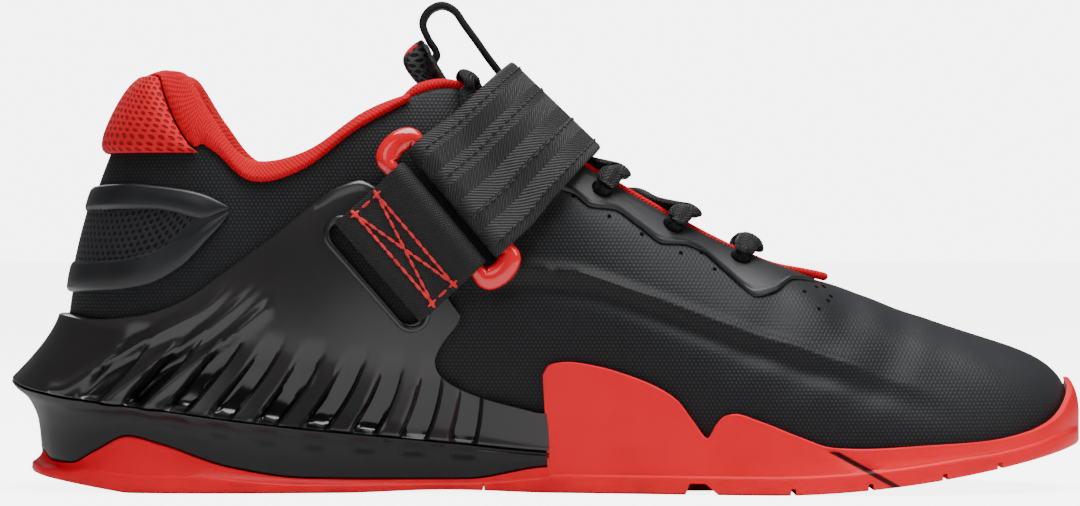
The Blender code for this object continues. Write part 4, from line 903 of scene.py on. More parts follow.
# Midsole under the heel and waist, with dimples that carry on the heel clip's ribs
midShape = {"dimple": 0.0007, "columns": 150}
clipShape = {"wall": 0.0022, "flare": 0.019, "depth": 0.0040, "ribs": 9, "first": 1.7, "lastRib": 7.3,
             "slotWide": 0.0075, "slotLong": 0.036, "ridge": 0.0017}
clipTop = ((0.0, 41.5), (5.0, 41.6), (9.0, 40.3), (13.0, 41.2), (16.5, 44.0), (21.0, 51.8),
           (25.0, 59.5), (28.7, 67.0), (31.0, 71.0), (33.2, 72.6), (35.0, 70.5), (43.5, 39.0),
           (46.0, 36.0), (52.0, 34.0))
bayPoints = ((34.6, 76.0), (35.3, 70.0), (41.6, 44.8), (42.2, 42.6), (42.35, 41.0), (41.9, 38.6), (40.6, 34.4),
             (40.0, 30.0), (41.0, 26.0), (44.0, 22.2), (49.3, 18.6), (54.0, 17.6), (54.0, 76.0))


def ribPhase(row):
    pitch = (clipShape["lastRib"] - clipShape["first"]) / clipShape["ribs"]
    inside = (row > clipShape["first"]) & (row < clipShape["lastRib"])
    f = np.mod((row - clipShape["first"]) / pitch, 1.0)
    return inside * smoothStep(f, 0.14, 0.34) * (1 - smoothStep(f, 0.68, 0.80))


def makeMidsole():
    fit = shoe["fit"]
    signed = arcOf(np.linspace(0, clipEnd, midShape["columns"]))
    c, row = placeSigned(signed), np.abs(signed)
    waist, flange = wide(heelValue("waist", row)), wide(heelValue("flange", row))
    cup = tall(heelValue("cup", row)) + fit
    parting = tall(heelValue("parting", row)) - fit * 1.5
    grid = [skin(c, np.full(c.shape, soleShape["floor"] + fit), waist - soleShape["floorInset"] - fit * 1.5)]
    grid += [skin(c, cup, waist - soleShape["cupInset"] - fit * 1.5), skin(c, cup, waist - 0.0003),
             skin(c, cup + 0.0003, waist)]
    for t in np.linspace(0.05, 0.95, 16):
        bulge = easy(((0, 0), (0.45, 0.12), (0.78, 0.45), (1, 1)), t)
        pressed = midShape["dimple"] * ribPhase(row) * smoothStep(t, 0.55, 0.8) * (row > 2.2)
        grid.append(skin(c, cup + 0.0003 + (parting - cup - 0.0011) * t, waist + (flange - waist) * bulge - pressed))
    grid += [skin(c, parting - 0.0008, flange - 0.0004), skin(c, parting - 0.0002, flange - 0.00005),
             skin(c, parting, flange - 0.0003), skin(c, parting, np.full(c.shape, fit)),
             skin(c, footHeight(c) - fit, np.full(c.shape, fit))]
    return shows(ringSolid("midsoleWedge", np.array(grid), blackFoam, False, 40), "black_foam", "midsole")


makeMidsole()

# Glossy heel clip: ribs lean forward over the parting line and an arm rises on each side
ridgeLines = (((5.0, 24.0), (6.5, 24.8), (10.2, 30.5), (13.5, 35.4), (16.8, 39.6), (20.0, 44.9), (24.1, 58.8)),
              ((10.2, 21.8), (14.5, 30.0), (19.1, 37.5), (23.0, 46.0), (26.4, 56.5)),
              ((13.6, 20.4), (17.2, 28.2), (21.4, 36.2), (24.6, 43.0)))
slotPlace = (34.6, 51.3)
strapLean = (0.66, -0.75)
lean = np.array(strapLean) / math.hypot(*strapLean)
rising = np.array([-lean[1], lean[0]])
slotCentre = np.array([lengthAt(slotPlace[0]), tall(slotPlace[1])])


def clipStation(signed, share):
    row = np.abs(signed)
    forward = np.interp(row, (0, 0.8, 2.5, 5.0, 7.0, clipEnd), (0, 0.3, 1.9, 1.5, 0.5, 0.0))
    bottom = tall(heelValue("parting", row))
    side = np.where(signed <= 0, -1.0, 1.0)
    top = tall(41.5) * np.ones(row.shape)
    for _ in range(40):
        lift = np.clip((top - bottom) / tall(35), 0, 1.4)
        x = skin(ringAt(side, np.minimum(row + forward * lift, 9.5)), top, 0.0)[..., 0]
        top = top + 0.5 * (tall(easy(clipTop, (x / shoe["length"] + 0.5) * 100)) - top)
    z = bottom + (top - bottom) * share
    return ringAt(side, row + forward * np.clip((z - bottom) / tall(35), 0, 1.4)), z, bottom, row


def oblong(centre, long, wideness, count=9):
    half, radius = long / 2 - wideness / 2, wideness / 2
    end = [lean * (half + radius * math.cos(t)) + rising * radius * math.sin(t)
           for t in np.linspace(-np.pi / 2, np.pi / 2, count)]
    return [centre + step for step in end] + [centre - step for step in end]


def makeClip():
    look, fit = clipShape, shoe["fit"]
    signed = arcOf(np.linspace(0, clipEnd, 240))
    shares = np.concatenate([[0.0, 0.006, 0.016], np.linspace(0.03, 0.30, 16), np.linspace(0.33, 0.985, 20),
                             [0.994, 1.0]])
    bevel = np.concatenate([[0.55, 0.16, 0.0], np.zeros(36), [0.35, 0.75]])
    outer, inner, marks = [], [], []
    for share, soft in zip(shares, bevel):
        c, z, bottom, row = clipStation(signed, share)
        over = z - bottom
        reach = wide(heelValue("flange", row)) - look["wall"] - 2 * fit
        slack = np.maximum(reach, 0) * np.clip(1 - over / look["flare"], 0, 1) ** 1.6
        strength = easy(((1.6, 0.3), (2.6, 1.0), (6.5, 1.0), (7.4, 0.5)), row)
        depth = easy(((0, 0.3), (0.001, 0.8), (0.003, 1.0), (0.010, 0.8), (0.021, 0.0)), over)
        hollow = look["depth"] * strength * ribPhase(row) * depth
        out = 2 * fit + look["wall"] + slack - np.minimum(hollow, slack + look["wall"] * 0.55)
        spot = skin(c, z, out)
        for line in ridgeLines:
            fade = 1 - smoothStep(spot[..., 2], tall(35.0), tall(52.0))
            out = out + look["ridge"] * fade * hump(nearLine(line, spot[..., 0], spot[..., 2]), 0.0016)
        # the hollow mask, which the clip's material uses for painted shade inside the ribs
        marks.append(np.stack([np.clip(strength * ribPhase(row) * depth, 0, 1), 0 * row], -1))
        outer.append(skin(c, z, out - look["wall"] * 0.5 * soft))
        inner.append(skin(c, z, np.full(c.shape, 2 * fit)))
    clip = patchSolid("heelClipShell", np.array(outer), np.array(inner), blackGloss, np.array(marks), sharp=50)
    bay = sideXZ(*zip(*bayPoints))
    shape = np.vstack([bay[:2], smoothPath(bay[2:11], 6), bay[11:]])
    cutAway(clip, [prism(shape), prism(oblong(slotCentre, look["slotLong"], look["slotWide"]))])
    return shows(clip, "gloss_black", "heel_clip")


makeClip()
print("heel clip made")

# Counter panel: a moulded frame round a sunk mesh window
counterShape = {"thick": 0.0016, "sunk": 0.0011, "columns": 170, "end": 4.28, "wave": 0.0004, "thinnest": 0.0003,
                "windowEnd": 17.6}
counterRows = ((0.0, 46.5, 53.5, 65.5, 70.8), (1.0, 46.5, 53.5, 66.0, 71.6), (2.0, 46.8, 54.0, 66.2, 71.9),
               (2.6, 48.0, 56.0, 66.0, 71.4), (3.2, 52.0, 59.0, 65.0, 70.6), (3.7, 58.0, 62.4, 63.8, 69.4),
               (4.1, 62.5, 64.4, 65.2, 67.6), (4.3, 64.8, 65.3, 65.8, 66.4))
frameSteps = ((0.0, 0.3), (0.05, 0.75), (0.15, 1.0), (0.5, 1.05), (0.85, 1.0), (0.96, 0.8))
windowLow = ((0.0, 53.7), (10.0, 53.7), (14.0, 55.6), (16.3, 60.0), (17.8, 63.0))
windowHigh = ((0.0, 65.4), (12.0, 66.0), (16.0, 65.4), (17.8, 63.9))


def makeCounter():
    look, fit = counterShape, shoe["fit"]
    signed = arcOf(np.linspace(0, look["end"], look["columns"] // 2))
    row, c = np.abs(signed), placeSigned(signed)
    low, sill, head, high = [tall(easy(counterRows, row, k)) for k in (1, 2, 3, 4)]
    slender = easy(((0, 1.0), (3.6, 1.0), (look["end"], 0.4)), row)
    sunkPuff = 1 - look["sunk"] / look["thick"]
    courses = [(low + (sill - low) * share, puff, 0) for share, puff in frameSteps]
    courses += [(sill + (head - sill) * t, sunkPuff, 1) for t in np.linspace(0.02, 0.98, 18)]
    courses += [(head + (high - head) * (1 - share), puff, 0) for share, puff in frameSteps[::-1]]
    grid, back = [], []
    for z, puff, deep in courses:
        w = shareAtHeight(c, z)
        wave = look["wave"] * deep * np.sin(row * 2.2)
        grid.append(onWall(c, w, fit + np.maximum(look["thick"] * puff * slender + wave, look["thinnest"])))
        back.append(onWall(c, w, np.full(c.shape, fit)))
    panel = patchSolid("counterPanel", np.array(grid), np.array(back), blackFilm, sharp=50)
    panel.data.materials.append(blackMesh)
    for face in panel.data.polygons:
        along = (face.center.x / shoe["length"] + 0.5) * 100
        between = tall(easy(windowLow, along)) < face.center.z < tall(easy(windowHigh, along))
        face.material_index = 1 if between and along < look["windowEnd"] else 0
    return shows(panel, "black_film", "counter_panel")


makeCounter()

# Heel tab and collar roll, both padded
tabShape = {"low": 79.0, "lowRow": 3.55, "topRow": 1.9, "thick": 0.0036, "behind": 0.0004}
tabSteps = ((0.0, 0.2), (0.03, 0.62), (0.15, 0.92), (0.4, 1.0), (0.7, 1.0), (0.9, 0.8), (0.97, 0.6), (1.0, 0.35))
rollShape = {"thick": 0.0058}
justUnder = 0.985  # the share of the wall's height a little below its top edge


def makeTab():
    look, fit = tabShape, shoe["fit"]
    outer, inner = [], []
    for share, thick in tabSteps:
        limit = look["lowRow"] + (look["topRow"] - look["lowRow"]) * share ** 0.8
        q = np.concatenate([[-1, -0.97], np.linspace(-0.9, 0.9, 25), [0.97, 1]])
        c = placeSigned(q * limit)
        start = shareAtHeight(c, np.full(c.shape, tall(look["low"])))
        w = start + (justUnder - start) * share
        side = easy(((0, 1), (0.75, 1), (0.93, 0.78), (1.0, 0.2)), np.abs(q))
        outer.append(onWall(c, w, fit * 2 + look["behind"] + look["thick"] * thick * side))
        inner.append(onWall(c, w, np.full(c.shape, fit * 2)))
    tab = rounded(patchSolid("heelTabPad", np.array(outer), np.array(inner), redMesh))
    shows(tab, "red_knit", "heel_tab")


def makeRoll():
    fit, wall = shoe["fit"], shoe["wall"]
    c = placeSigned(arcOf(np.concatenate([np.linspace(0, 6.9, 47), [7.2, 7.45, 7.5]])))
    row = rowOf(c)
    top, normal = wallPoint(c, 1.0), wallNormal(c, 1.0)
    upward = unit(top - wallPoint(c, justUnder))
    back = wall + fit * 2
    seam = np.clip((tabShape["lowRow"] - row) / (tabShape["lowRow"] - tabShape["topRow"]), 0, 1) ** 1.25
    tabStart = shareAtHeight(c, np.full(c.shape, tall(tabShape["low"])))
    hang = np.minimum(tabStart + (justUnder - tabStart) * seam + 0.012, justUnder)
    after = easy(((tabShape["lowRow"], 0.86), (4.2, 0.93), (5.0, 0.965), (6.5, 0.98)), row)
    hang = np.where(row > tabShape["lowRow"], after, hang)
    ends = np.interp(row, (5.5, 7.5), (1, 0.5))[:, None]
    puff = easy(((0, 1.0), (2, 1.0), (4.0, 1.3), (5.2, 1.35), (6.5, 1.0), (7.1, 0.92), (7.5, 0.35)), row)[:, None]
    hangs = [hang + (1 - hang) * share for share in (0.0, 0.06, 0.4)]
    outer = [onWall(c, w, fit * 2 + lift + 0 * c) for w, lift in zip(hangs, (0.0002, 0.0009, 0.0018))]
    for a, b in ((0.0015, 0.0010), (0.0008, 0.0026), (-0.0012, 0.0038), (-0.0040, 0.0037), (-0.0066, 0.0022)):
        outer.append(top + normal * a * (ends if a < -0.001 else 1) + upward * b * puff)
    for w, thick in ((0.955, 1.05), (0.90, 0.85), (0.84, 0.5), (0.80, 0.1)):
        outer.append(wallPoint(c, w) - wallNormal(c, w) * (back + rollShape["thick"] * thick * ends))
    inner = [onWall(c, w, fit + 0 * c) for w in hangs]
    inner += [top + normal * 0.0004 + upward * fit, top + upward * fit, top - normal * 0.0012 + upward * fit,
              top - normal * back + upward * fit, top - normal * back - upward * 0.0008]
    inner += [wallPoint(c, w) - wallNormal(c, w) * back for w in (0.955, 0.90, 0.84, 0.80)]
    roll = rounded(patchSolid("collarRollPad", np.array(outer), np.array(inner), redKnit))
    shows(roll, "red_knit", "collar_roll")


makeTab()
makeRoll()
print("collar made")

# Throat binding, eyestays and tongue
stayRows = ((8.0, 76.0), (9.0, 71.5), (9.4, 69.5), (9.6, 66.4), (9.9, 65.8), (10.15, 62.0),
            (10.4, 57.8), (10.65, 57.6), (10.85, 56.2), (11.05, 51.4), (11.3, 45.4), (11.6, 46.6),
            (12.0, 49.4), (12.4, 48.6))
stayShape = {"thick": 0.0008, "top": 0.965}
bindShape = {"radius": 0.00115, "start": 0.5, "firstRow": 7.34}
tongueShape = {"thick": 0.0040, "half": 0.023, "reach": 0.0195, "rise": (-0.52, 0.0, 0.854), "sag": 0.0018,
               "liningHalf": 0.0105, "liningNear": 0.33}


def makeBinding():
    first = bindShape["firstRow"]
    rows = np.concatenate([np.linspace(first, 12.4, 134), np.linspace(12.45, 12.6, 6)])
    c = np.concatenate([rows, (2 * tipRow - rows)[::-1]])
    top, normal = wallPoint(c, 1.0), wallNormal(c, 1.0)
    upward = unit(top - wallPoint(c, justUnder))
    over = smoothStep(rowOf(c), 11.6, 12.5)[:, None]
    seat = unit(upward * (1 - over) + normal * over)
    radius = bindShape["radius"]
    path = top + seat * (radius + shoe["fit"] * (0.6 + over)) - normal * shoe["wall"] * 0.35 * (1 - over)
    thicker = 1 + bindShape["start"] * (1 - smoothStep(rowOf(c), 7.7, 8.5))
    thicker = thicker * (0.35 + 0.65 * smoothStep(rowOf(c), first, 7.62))
    path = path + upward * (radius * (thicker - 1))[:, None]
    path = path - upward * (radius * 2.4 * smoothStep(rowOf(c), 11.7, 12.4))[:, None]
    binding = sweep("throatBinding", path, redKnit, radius, radius, normal, sides=12, ends=(thicker, thicker))
    return shows(binding, "red_knit", "throat_binding")


def makeStays():
    look, fit = stayShape, shoe["fit"]
    rows = np.linspace(8.15, 12.4, 150)
    tail = np.interp(rows, (8.15, 8.2, 12.35, 12.4), (0.3, 1, 1, 0.3))
    for name, side in (("eyestay_inner", -1), ("eyestay_outer", 1)):
        c = ringAt(side, rows)
        low = shareAtHeight(c, tall(easy(stayRows, rows)))
        outer, inner = [], []
        for share, thick in ((0.0, 0.25), (0.02, 0.7), (0.05, 1.0), (0.07, 1.15), (0.10, 0.85), (0.2, 0.85),
                             (0.4, 0.9), (0.6, 0.9), (0.8, 0.9), (0.95, 0.9), (1.0, 0.4)):
            w = low + (look["top"] - low) * share
            outer.append(onWall(c, w, fit + look["thick"] * thick * tail))
            inner.append(onWall(c, w, fit + 0 * c))
        filmName = name.replace("eyestay_", "eyestayFilm.")
        shows(patchSolid(filmName, np.array(outer), np.array(inner), blackFilm, sharp=60), "black_film", name)


def tongueGrid():
    look = tongueShape
    back = shoe["wall"] + shoe["fit"] + 0.0003
    sections = []
    for row in (12.55, 12.2, 11.6, 11.0, 10.4, 9.8, 9.2, 8.6, 8.1):
        reach = look["half"] * np.interp(row, (8, 12.6), (1.0, 0.72))
        lines = []
        for side in (-1, 1):
            c = float(ringAt(side, row))
            low, high = 0.4, 1.0
            for _ in range(30):
                w = (low + high) / 2
                if abs(wallPoint(c, w)[1] - wide(byRow("axis", row))) > reach:
                    low = w
                else:
                    high = w
            lines.append([wallPoint(c, s) - wallNormal(c, s) * back for s in (w, w + (1 - w) * 0.5, 1.0)])
        left, right = lines[0], lines[1][::-1]
        sag = look["sag"] * np.interp(row, (8.4, 9.4, 11.9, 12.5), (0, 1, 1, 0))
        crown = (left[-1] + right[0]) / 2 - np.array([0, 0, sag])
        sections.append(np.array(left + [(left[-1] + crown) / 2, crown, (right[0] + crown) / 2] + right))
    base, centre = sections[-1], sections[-1][4]
    for share, narrow in ((0.35, 0.92), (0.7, 0.88), (0.92, 0.78), (1.0, 0.6)):
        spread = centre + (base - centre) * np.array([1, narrow, 1])
        spread[:, 2] = centre[2] + (base[:, 2] - centre[2]) * 0.8
        spread[:, 0] = centre[0] + (base[:, 0] - centre[0]) * 0.6
        sections.append(spread + np.array(look["rise"]) * look["reach"] * share)
    return np.array(sections)


def finer(grid, halvings=3):  # the same grid with each of its steps halved, several times over
    for axis in (0, 1):
        for _ in range(halvings):
            count = grid.shape[axis]
            middle = (np.take(grid, range(1, count), axis) + np.take(grid, range(count - 1), axis)) / 2
            order = np.argsort(np.concatenate([np.arange(count) * 2, np.arange(count - 1) * 2 + 1]))
            grid = np.take(np.concatenate([grid, middle], axis), order, axis)
    return grid


def makeTongue():
    outer = tongueGrid()
    normal = unit(np.cross(np.gradient(outer, axis=0), np.gradient(outer, axis=1)))
    if normal[4, 4, 2] < 0:
        normal = -normal
    sides = np.array([0.35, 0.8, 1, 1, 1, 1, 1, 0.8, 0.35])
    along = np.interp(np.arange(len(outer)), (0, 1, 8, 9, 10, 11, 12), (0.5, 1, 1.1, 1.8, 2.2, 2.0, 1.0))
    inner = outer - normal * (tongueShape["thick"] * sides * along[:, None])[..., None]
    tongue = patchSolid("tonguePad", outer, inner, blackMesh)
    tongue.data.materials.append(redKnit)
    rounded(tongue)
    front, lining = (finer(face).reshape(-1, 3) for face in (outer, inner))
    for face in tongue.data.polygons:
        centre = np.array(face.center)
        gaps = [np.linalg.norm(points - centre, axis=1).min() for points in (front, lining)]
        middle = abs(centre[1] - outer[-3, 4, 1]) < tongueShape["liningHalf"]
        face.material_index = 1 if middle and gaps[1] < gaps[0] * tongueShape["liningNear"] else 0
    shows(tongue, "black_mesh", "tongue")
    return outer


loopPoints = ((39.3, 100.6), (39.9, 103.4), (39.1, 107.0), (38.6, 110.6), (39.2, 113.6), (40.4, 114.9),
              (41.6, 113.6), (42.5, 110.4), (43.6, 106.6), (44.7, 102.6), (45.9, 98.6))
loopRows = ((-0.0050, 0.0004), (-0.0046, 0.0010), (-0.0025, 0.0010), (0.0, 0.0010), (0.0025, 0.0010),
            (0.0046, 0.0010), (0.0050, 0.0004))


def makeLoop(tongue):
    xz = smoothPath(sideXZ(*zip(*loopPoints)), 8)
    path = np.stack([xz[:, 0], np.full(len(xz), float(tongue[-3, 4, 1])), xz[:, 1]], -1)
    tangent = unit(np.gradient(path, axis=0))
    normal = np.cross(np.array([0.0, 1.0, 0.0]), tangent)
    outer, inner = [], []
    for y, thick in loopRows:
        side = np.array([0.0, y, 0.0])
        outer.append(path + side + normal * thick)
        inner.append(path + side - normal * thick)
    mark, across = walked(path[:, None], 0)[:, 0], np.linspace(0, 0.010, len(loopRows))
    surf = np.stack(np.broadcast_arrays(mark[None, :], across[:, None]), -1)
    loop = patchSolid("pullLoopWeb", np.array(outer), np.array(inner), blackWeb, surf)
    return shows(loop, "black_webbing", "pull_loop")


makeBinding()
makeStays()
tongueFace = makeTongue()
makeLoop(tongueFace)
print("tongue made")


insoleSteps = ((0.0014, 0.0), (0.0006, 0.0008), (0.0006, 0.0030), (0.0009, 0.0035), (0.0020, 0.0038),
               (0.0050, 0.0037))


def makeInsole():
    c = loopOf(np.linspace(0, tipRow, 120))
    x, y = outline(c)
    nx, ny = outward(c)
    z = footHeight(c)
    grid = []
    for inset, lift in insoleSteps:
        shift = -(shoe["wall"] + inset + shoe["fit"])
        grid.append(np.stack([x + nx * shift, y + ny * shift, z + lift], -1))
    return shows(ringSolid("insoleBed", np.array(grid), redKnit, True), "red_knit", "insole")


makeInsole()

# Ring, webbing and strap
ringShape = {"bar": 0.0021, "reach": 0.0096, "long": 0.0485, "out": 0.0062, "bow": 0.0030, "flange": 0.0032}
webShape = {"wide": 0.0350, "thick": 0.0012}
strapShape = {"wide": 0.0375, "thick": 0.0013, "lace": 0.0022, "rest": 0.0005, "arch": 0.74}
ringPlace = (41.2, 65.3)
strapCrest = ((45.9, 98.8), (54.2, 78.6))
ringCentre = np.array([lengthAt(ringPlace[0]), tall(ringPlace[1])])
slotDistance = float(np.dot(slotCentre - ringCentre, rising))
webOut = clipShape["wall"] + 4 * shoe["fit"]


def sidePlace(side):
    def place(s, lift, q):
        s, lift, q = np.broadcast_arrays(s, lift, q)
        x = ringCentre[0] + rising[0] * s + lean[0] * q
        z = ringCentre[1] + rising[1] * s + lean[1] * q
        return standOff(side, x, z, lift)[0]
    return place


def turnRound(centre, radius, start, end, count):
    return [(centre[0] + radius * math.cos(a), centre[1] + radius * math.sin(a))
            for a in np.linspace(start, end, count)]


def band(name, place, path, wideness, thick, surface, slim=0.0006):
    # path runs along the band and over what it lies on; its edges are slightly rounded
    path = np.array(path, float)
    tangent = unit(np.gradient(path, axis=0))
    normal = np.stack([-tangent[:, 1], tangent[:, 0]], -1)
    half = wideness / 2
    spans = np.concatenate([[-half, -half + slim * 0.5], np.linspace(-half + slim, half - slim, 15),
                            [half - slim * 0.5, half]])
    soft = np.concatenate([[0.35, 0.8], np.ones(15), [0.8, 0.35]])
    outer = np.array([place(*(path + normal * thick / 2 * k).T, q) for q, k in zip(spans, soft)])
    inner = np.array([place(*(path - normal * thick / 2 * k).T, q) for q, k in zip(spans, soft)])
    mark = walked(outer[9][:, None], 0)[:, 0]
    surf = np.stack(np.broadcast_arrays(mark[None, :], (spans + half)[:, None]), -1)
    return patchSolid(name, outer, inner, surface, surf, sharp=65)


def makeRing():
    look, place = ringShape, sidePlace(-1)
    side = look["reach"] / 2
    half = look["long"] / 2 - side
    turn = np.linspace(-np.pi / 2, np.pi / 2, 22)
    track = [(side * math.sin(a), half + look["bow"] * math.cos(a)) for a in turn]
    track += [(side, q) for q in np.linspace(half, -half, 18)[1:-1]]
    track = np.array(track + [(-s, -q) for s, q in track])
    centres = place(track[:, 0], look["out"], track[:, 1])
    ups = place(track[:, 0], look["out"] + 0.001, track[:, 1]) - centres
    broad = look["bar"] + (look["flange"] - look["bar"]) * smoothStep(np.abs(track[:, 1]), half - 0.001, half + 0.0022)
    ring = sweep("strapRingOblong", centres, ringRed, look["bar"], look["bar"], ups, closed=True, sides=24,
                 ends=(broad / look["bar"], np.ones(len(broad))))
    return shows(ring, "gloss_red", "strap_ring")


def webPath():
    bend = ringShape["bar"] + shoe["fit"] + webShape["thick"] / 2
    bar = (-ringShape["reach"] / 2, ringShape["out"])
    low, high = webOut + webShape["thick"] / 2, webOut + webShape["thick"] * 1.5 + 0.0001 + shoe["fit"]
    under = [(slotDistance + 0.0008, low), (slotDistance / 2 - 0.004, low), (bar[0] - 0.008, low),
             (bar[0] - 0.004, low + 0.0002)]
    over = [(bar[0] - 0.0055, high + 0.0010), (bar[0] - 0.0095, high + 0.0002), (slotDistance / 2 - 0.004, high),
            (slotDistance + 0.0040, high), (slotDistance + 0.0006, high - 0.0010)]
    turn = turnRound(bar, bend, -np.pi * 0.62, np.pi * 0.62, 18)
    return smoothPath(under, 4)[:-1].tolist() + turn + smoothPath(over, 5).tolist()


def makeWebbing():
    web = band("ringWeb", sidePlace(-1), webPath(), webShape["wide"], webShape["thick"], blackWeb)
    return shows(web, "black_webbing", "ring_webbing")


def strapBase(q):  # the line that the strap lies on, from the ring over the instep to the far slot
    share = q / strapShape["wide"] + 0.5
    start = ringCentre + rising * ringShape["reach"] / 2 + lean * q
    crest = (1 - share) * sideXZ(*strapCrest[0]) + share * sideXZ(*strapCrest[1])
    innerY, outerY = (beside(side, start[0], start[1])[1] for side in (-1, 1))
    line = []
    for angle in np.linspace(0, np.pi, 61):
        xz = start + (crest - start) * math.sin(angle) ** strapShape["arch"]
        y = (innerY if angle < np.pi / 2 else outerY) * abs(math.cos(angle)) ** strapShape["arch"]
        line.append((xz[0], y, xz[1]))
    spot = start - rising * np.linspace(0.002, ringShape["reach"] / 2 - slotDistance, 14)[:, None]
    return np.vstack([line, beside(1, spot[:, 0], spot[:, 1])])


class StrapBed:  # places on and over the strap's line
    def __init__(self):
        self.byRing = sidePlace(-1)
        middle = strapBase(0.0)
        self.total = np.linalg.norm(np.diff(middle, axis=0), axis=1).sum()
        self.crest = np.linalg.norm(np.diff(middle[:31], axis=0), axis=1).sum()
        self.lines = {}

    def line(self, q):
        key = round(float(q), 7)
        if key not in self.lines:
            line = strapBase(q)
            step = np.linalg.norm(np.diff(line, axis=0), axis=1)
            normal = unit(np.cross(np.array([lean[0], 0, lean[1]]), np.gradient(line, axis=0)))
            normal = -normal if normal[30, 2] < 0 else normal
            mark = np.concatenate([[0], np.cumsum(step)]) / step.sum() * self.total
            self.lines[key] = (line, normal, mark)
        return self.lines[key]

    def place(self, s, lift, q):
        s, lift = np.atleast_1d(np.asarray(s, float)), np.atleast_1d(np.asarray(lift, float))
        line, normal, mark = self.line(q)
        spot = np.stack([np.interp(s, mark, line[:, k]) for k in range(3)], -1)
        way = unit(np.stack([np.interp(s, mark, normal[:, k]) for k in range(3)], -1))
        arched = spot + way * lift[:, None]
        share = smoothStep(s, 0.004, 0.018)[:, None]
        return self.byRing(ringShape["reach"] / 2 + s, lift, float(q)) * (1 - share) + arched * share


def strapPath(bed):
    thick, fit = strapShape["thick"], shoe["fit"]
    rest = strapShape["rest"] + thick / 2
    bend = ringShape["bar"] + fit + thick / 2
    humps = ((0.30, 0.5), (0.48, 1.0), (0.64, 1.0), (0.8, 0.8), (1.0, 0.35), (1.2, 1.0), (1.36, 1.3), (1.52, 1.1))
    overLace = [(bed.crest * share, rest + strapShape["lace"] * lift) for share, lift in humps]
    end = webOut + thick / 2
    lower = [(bed.total, end), (bed.total - 0.014, end), (bed.total - 0.026, rest + 0.0012)] + overLace[::-1]
    upper = [(0.008, rest + thick + fit + 0.0034)] + [(s, lift + thick + fit) for s, lift in overLace]
    loop = turnRound((0.0, ringShape["out"]), bend, -np.pi * 0.38, -np.pi * 1.62, 20)
    return smoothPath(lower, 6).tolist() + loop + smoothPath(upper, 6).tolist()


bed = StrapBed()
strapLine = strapPath(bed)


def makeStrap():
    strap = band("instepStrap", bed.place, strapLine, strapShape["wide"], strapShape["thick"], strapWeave, 0.0010)
    return shows(strap, "black_webbing", "strap")


def makeSlotRims():
    for name, side in (("slotRimInner", -1), ("slotRimOuter", 1)):
        half = clipShape["slotLong"] / 2 - clipShape["slotWide"] / 2
        turn = np.linspace(-np.pi / 2, np.pi / 2, 14)
        reach = clipShape["slotWide"] / 2 + 0.0006
        track = [(slotDistance + reach * math.sin(a), half + reach * math.cos(a)) for a in turn]
        track += [(slotDistance + reach, q) for q in np.linspace(half, -half, 10)[1:-1]]
        track = np.array(track + [(2 * slotDistance - s, -q) for s, q in track])
        out = clipShape["wall"] + 2 * shoe["fit"] - 0.0003
        centres = sidePlace(side)(track[:, 0], out, track[:, 1])
        ups = sidePlace(side)(track[:, 0], out + 0.001, track[:, 1]) - centres
        shows(sweep(name, centres, blackGloss, 0.0010, 0.0010, ups, closed=True, sides=12), "gloss_black")


makeRing()
makeWebbing()
makeStrap()
makeSlotRims()
print("strap made")

# Laces, run into their eyelets
eyeletAlong = ((42.7, 87.0), (48.6, 79.0), (55.2, 70.3), (61.8, 61.6), (68.1, 54.0))
laceShape = {"half": 0.0033, "thin": 0.0015, "sunk": -0.0012, "steps": 90, "wallRound": 0.0020}
throatUp = (0.5, 0.0, 0.86)


def laceAnchor(side, index, lift):
    along, height = eyeletAlong[index]
    return standOff(side, lengthAt(along), tall(height), lift)[0]


def throatPoint(side, along, lift, gapShare):
    rows = np.linspace(8.0, throatRow, 300)
    row = float(np.interp(lengthAt(along), lengthAt(byRow("topAlong", rows)), rows))
    point = wallPoint(float(ringAt(side, row)), 1.0)
    middle = wide(byRow("axis", row))
    across = middle + (point[1] - middle) * gapShare
    return np.array([point[0] + lift * throatUp[0], across, point[2] + lift * throatUp[2]])


